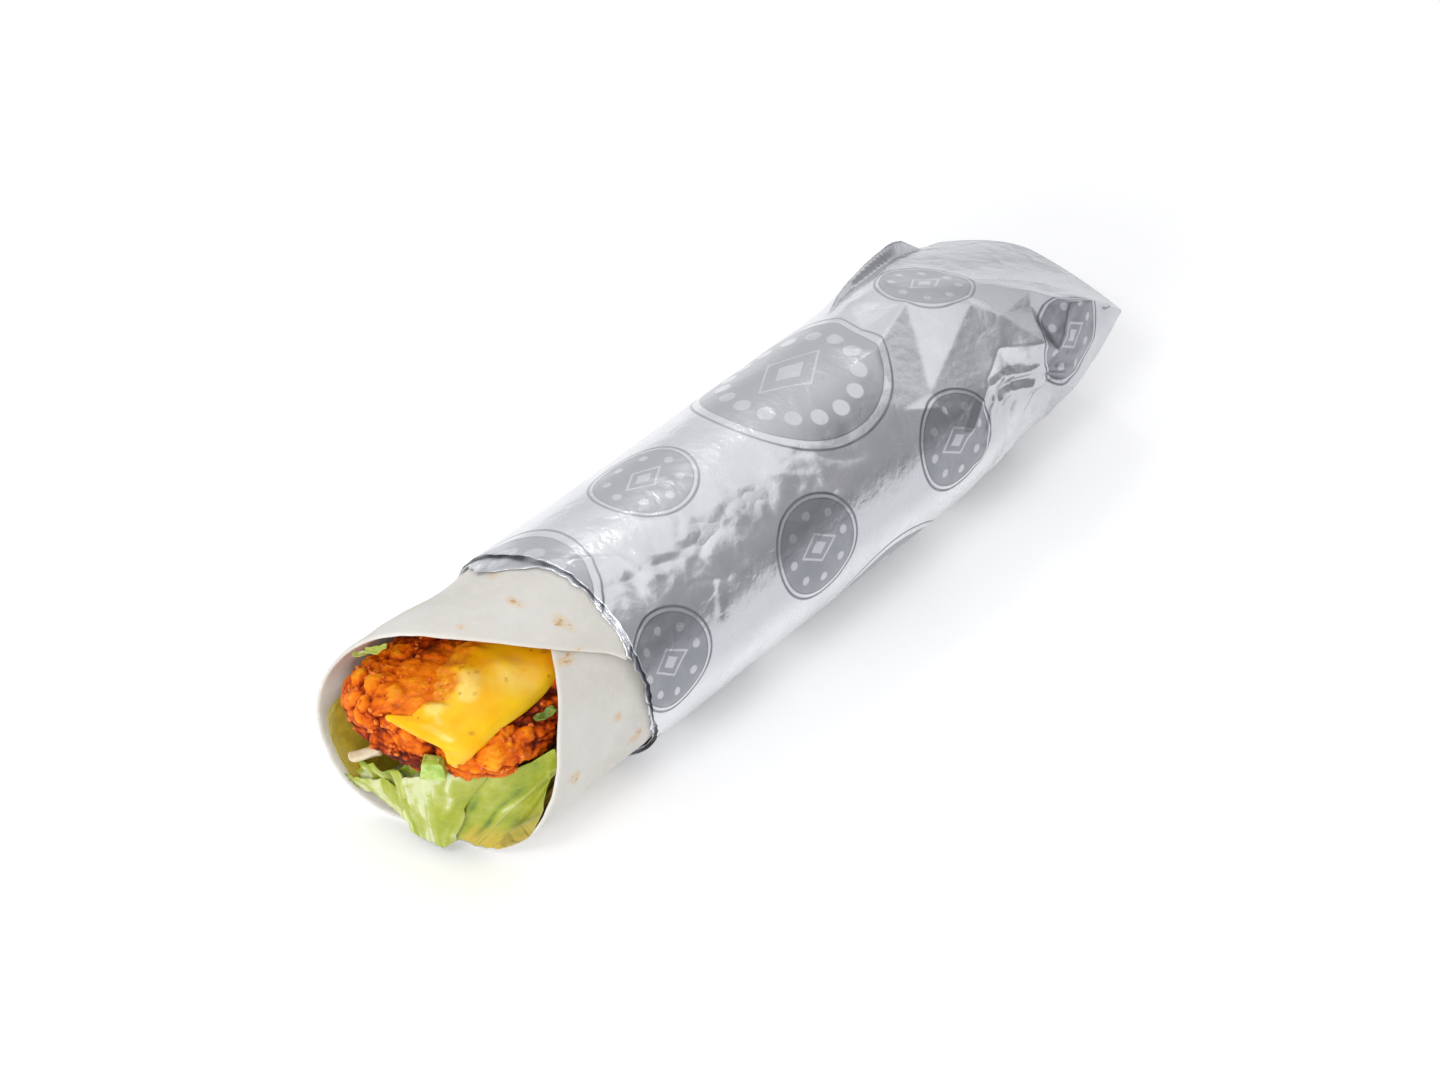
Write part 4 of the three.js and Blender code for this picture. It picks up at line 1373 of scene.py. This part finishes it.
def crumb_tree():
    """Scatters grains over a carrier where its attribute crumbs says, in metres."""
    tree = bpy.data.node_groups.new("crumb_scatter", "GeometryNodeTree")
    kinds = {"Carrier": "Geometry", "Density": "Float", "Smallest": "Float", "Largest": "Float"}
    for name, kind in {**kinds, "Seed": "Int", "Finish": "Material"}.items():
        tree.interface.new_socket(name, in_out="INPUT", socket_type="NodeSocket" + kind)
    tree.interface.new_socket("Crumbs", in_out="OUTPUT", socket_type="NodeSocketGeometry")
    nodes = Nodes(tree)
    given = nodes.node("NodeGroupInput").socket.node.outputs
    carrier, density, smallest, largest, seed, dress = (Field(nodes, given[n]) for n in range(6))
    where = nodes.node("GeometryNodeInputNamedAttribute", {"data_type": "FLOAT"}, ["crumbs"])
    spread = {"Mesh": carrier, "Density": where * density, "Seed": seed}
    spots = nodes.node("GeometryNodeDistributePointsOnFaces", {}, spread)
    grain = nodes.node("GeometryNodeMeshIcoSphere", {}, {"Radius": 1.0, "Subdivisions": 2})
    number, vector = {"data_type": "FLOAT"}, {"data_type": "FLOAT_VECTOR"}
    spread = {2: smallest, 3: largest, 8: seed}
    size = nodes.node("FunctionNodeRandomValue", number, spread, 1)
    any_way = {0: (0, 0, 0), 1: (6.3, 6.3, 6.3), 8: seed}
    turned = nodes.node("FunctionNodeRandomValue", vector, any_way)
    flat = nodes.node("ShaderNodeCombineXYZ", {}, [size * 1.3, size, size * 0.7])
    laid = {"Points": spots, "Instance": grain, "Rotation": turned, "Scale": flat}
    grains_laid = nodes.node("GeometryNodeInstanceOnPoints", {}, laid)
    whole = nodes.node("GeometryNodeRealizeInstances", {}, [grains_laid])
    rough = nodes.node("ShaderNodeTexNoise", {}, {"Scale": 1 / (0.7 * MM), "Detail": 1.0}, "Color")
    jag = nodes.node("ShaderNodeVectorMath", {"operation": "SUBTRACT"}, [rough, (0.5, 0.5, 0.5)])
    jag = nodes.node("ShaderNodeVectorMath", {"operation": "SCALE"}, {0: jag, "Scale": 0.7 * MM})
    jagged = nodes.node("GeometryNodeSetPosition", {}, {"Geometry": whole, "Offset": jag})
    dressed = nodes.node("GeometryNodeSetMaterial", {}, {"Geometry": jagged, "Material": dress})
    nodes.node("NodeGroupOutput", {}, [dressed])
    return tree


def crumbs(name, tree, carrier, where, look, **inputs):
    """A plain mesh of the crumbs that the tree scatters over a carrier."""
    holder = linked("holder", carrier.data.copy())
    painted(holder, crumbs=where)
    scatter = holder.modifiers.new("scatter", "NODES")
    scatter.node_group = tree
    inputs["Finish"] = look
    for socket in tree.interface.items_tree:
        if socket.name in inputs:
            scatter[socket.identifier] = inputs[socket.name]
    seen = holder.evaluated_get(bpy.context.evaluated_depsgraph_get())
    made = bpy.data.meshes.new_from_object(seen)
    bpy.data.objects.remove(holder)
    made.name = name
    made.shade_smooth()
    return linked(name, made)


def crumb_pieces(chicken, cheese):
    """Loose grains of breading on the chicken, and a few on the cheese beside it."""
    tree = crumb_tree()
    look = plain_look("breading_crumb", (0.60, 0.10, 0.004), (0.86, 0.22, 0.012), 1.2, 0.5, 0.1)
    at = own_places(chicken)
    x, y, z = at.T
    where = fall(y, -98, -84) * rise(z, 27, 33)
    where = where * rise(waves(at, 4, 111), -0.5, 0.3) * (1 - 0.8 * sauce_pool(at))
    inputs = {"Density": 1.3e5, "Seed": 3, "Smallest": 0.3 * MM, "Largest": 0.8 * MM}
    on_chicken = crumbs("breading_crumbs", tree, chicken, where, look, **inputs)
    x, y, z = own_places(cheese).T
    where = fall(x, 1, 8) * fall(y, -100, -90) * rise(z, 40, 42)
    inputs = {"Density": 1.0e5, "Seed": 8, "Smallest": 0.15 * MM, "Largest": 0.35 * MM}
    return on_chicken, crumbs("cheese_crumbs", tree, cheese, where, look, **inputs)


# ---------------------------------------------------------------- camera, light and floor


def aimed(name, data, at, target):
    thing = linked(name, data)
    thing.location = Vector(at)
    thing.rotation_euler = (Vector(target) - Vector(at)).to_track_quat("-Z", "Y").to_euler()
    return thing


def set_camera():
    """The photograph's angle: degrees round and up, and the distance in metres."""
    azimuth, elevation, distance = 43.0, 44.5, 0.730
    target = placed((1.7, -13.0, 28.0))
    ahead = cos(elevation)
    view = np.array([-sin(azimuth) * ahead, cos(azimuth) * ahead, -sin(elevation)])
    data = bpy.data.cameras.new("camera")
    data.lens = 75
    data.sensor_width = 36
    data.clip_start = 0.01
    bpy.context.scene.camera = aimed("camera", data, target - view * distance, target)


# Soft boxes: name, place and size in metres, and power in watts
LIGHTS = [
    ("key", (0.12, -0.62, 0.86), (0.26, 0.26), 1.7),
    ("front", (0.28, -0.85, 0.42), (0.4, 0.3), 2.5),
    ("glint", (-0.42, 0.25, 0.80), (0.10, 0.10), 0.4),
]


def set_lights():
    for name, at, size, power in LIGHTS:
        data = bpy.data.lights.new(name, "AREA")
        data.shape = "RECTANGLE"
        data.size, data.size_y = size
        data.energy = power
        aimed(name, data, at, (0, 0, 0.03))


def set_world():
    """A pale studio, paler overhead and grey towards the right and the back."""
    world = bpy.data.worlds.new("studio")
    bpy.context.scene.world = world
    world.use_nodes = True
    world.node_tree.nodes.clear()
    sky = Nodes(world.node_tree)
    way = sky.node("ShaderNodeTexCoord")
    grey_way = Vector((0.80, 0.52, 0.22)).normalized()
    dot = {"operation": "DOT_PRODUCT"}
    near_grey = sky.node("ShaderNodeVectorMath", dot, [way, grey_way], "Value")
    pale = sky.ramp(sky.axes(way)[2], (0.0, (0.72, 0.73, 0.75)), (0.9, (0.96, 0.965, 0.98)))
    colour = sky.mix(near_grey.rise(0.60, 0.90), pale, (0.32, 0.32, 0.335))
    light = sky.node("ShaderNodeBackground", {}, [colour, 0.90])
    sky.node("ShaderNodeOutputWorld", {}, [light])


def set_floor():
    """A plain pale floor that shines a little of its own, so that it stays white."""
    look = Look("floor", base_color=(0.92, 0.92, 0.92), roughness=0.9, specular_ior_level=0.0)
    look.put(emission_color=(1.0, 1.0, 1.0), emission_strength=0.17)
    half = 6.0  # metres
    mesh = bpy.data.meshes.new("floor")
    corners = [(x * half, y * half, 0) for x, y in ((-1, -1), (1, -1), (1, 1), (-1, 1))]
    mesh.from_pydata(corners, [], [(0, 1, 2, 3)])
    mesh.materials.append(look.material)
    floor = linked("floor", mesh)


# ---------------------------------------------------------------- the wrap


def finish(piece, slot, *nodes):
    """Sets a piece on the wrap's body and hides the CAD nodes it stands for. Its material slot is
    not used.
    """
    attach(piece, "root")
    if nodes:
        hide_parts(*nodes)


def build():
    finish(foil_wrapper(foil_look()), "foil", "foil_wrap")
    finish(tortilla(tortilla_look()), "tortilla", "tortilla")
    chicken, cheese = chicken_fillet(breading_look()), cheese_slice(cheese_look())
    for piece in crumb_pieces(chicken, cheese):
        finish(piece, "chicken")
    finish(chicken, "chicken", "chicken_fillet")
    finish(cheese, "cheese", "cheese_slice")

    green = lettuce_look()
    finish(lettuce_core(green), "lettuce", "lettuce")
    leaves = [
        fan_leaf("leaf_left", green, (96, 146), -0.9, 101, 1.0, 0.5),
        fan_leaf("leaf_right", green, (34, 76), 0.0, 121),
        fan_leaf("leaf_left_low", green, (104, 146), 0.1, 161, 0.72, 0.15),
        fan_leaf("leaf_middle", green, (74, 114), 1.5, 141, 0.96),
        *(leaf_bit(number, green, *bit) for number, bit in enumerate(LEAF_BITS)),
    ]
    finish(joined("lettuce_leaves", leaves), "lettuce")

    olive = pickle_look("pickle_olive", (0.53, 0.36, 0.035), (0.34, 0.25, 0.02))
    mustard = pickle_look("pickle_mustard", (0.56, 0.38, 0.045), (0.50, 0.32, 0.03))
    left = wall_slice("pickle_slice_left", olive, 204, 54, -84, 3.4, 8.0)
    finish(left, "pickle", "pickle_left")
    right = wall_slice("pickle_slice_right", mustard, 315, 66, -52, 3.0, 4.0)
    finish(right, "pickle", "pickle_right")
    onion = plain_look("onion_flesh", (0.64, 0.50, 0.30), (0.74, 0.63, 0.44), 3, 0.3)
    finish(onion_strip(onion), "onion", "onion_strip")
    crisp = plain_look("lettuce_crisp", (0.31, 0.48, 0.05), (0.52, 0.66, 0.18), 2.5, 0.35)
    finish(dice(crisp), "lettuce", "lettuce_dice")


set_camera()
set_world()
set_floor()
set_lights()
bpy.context.scene.view_settings.view_transform = "Standard"
build()
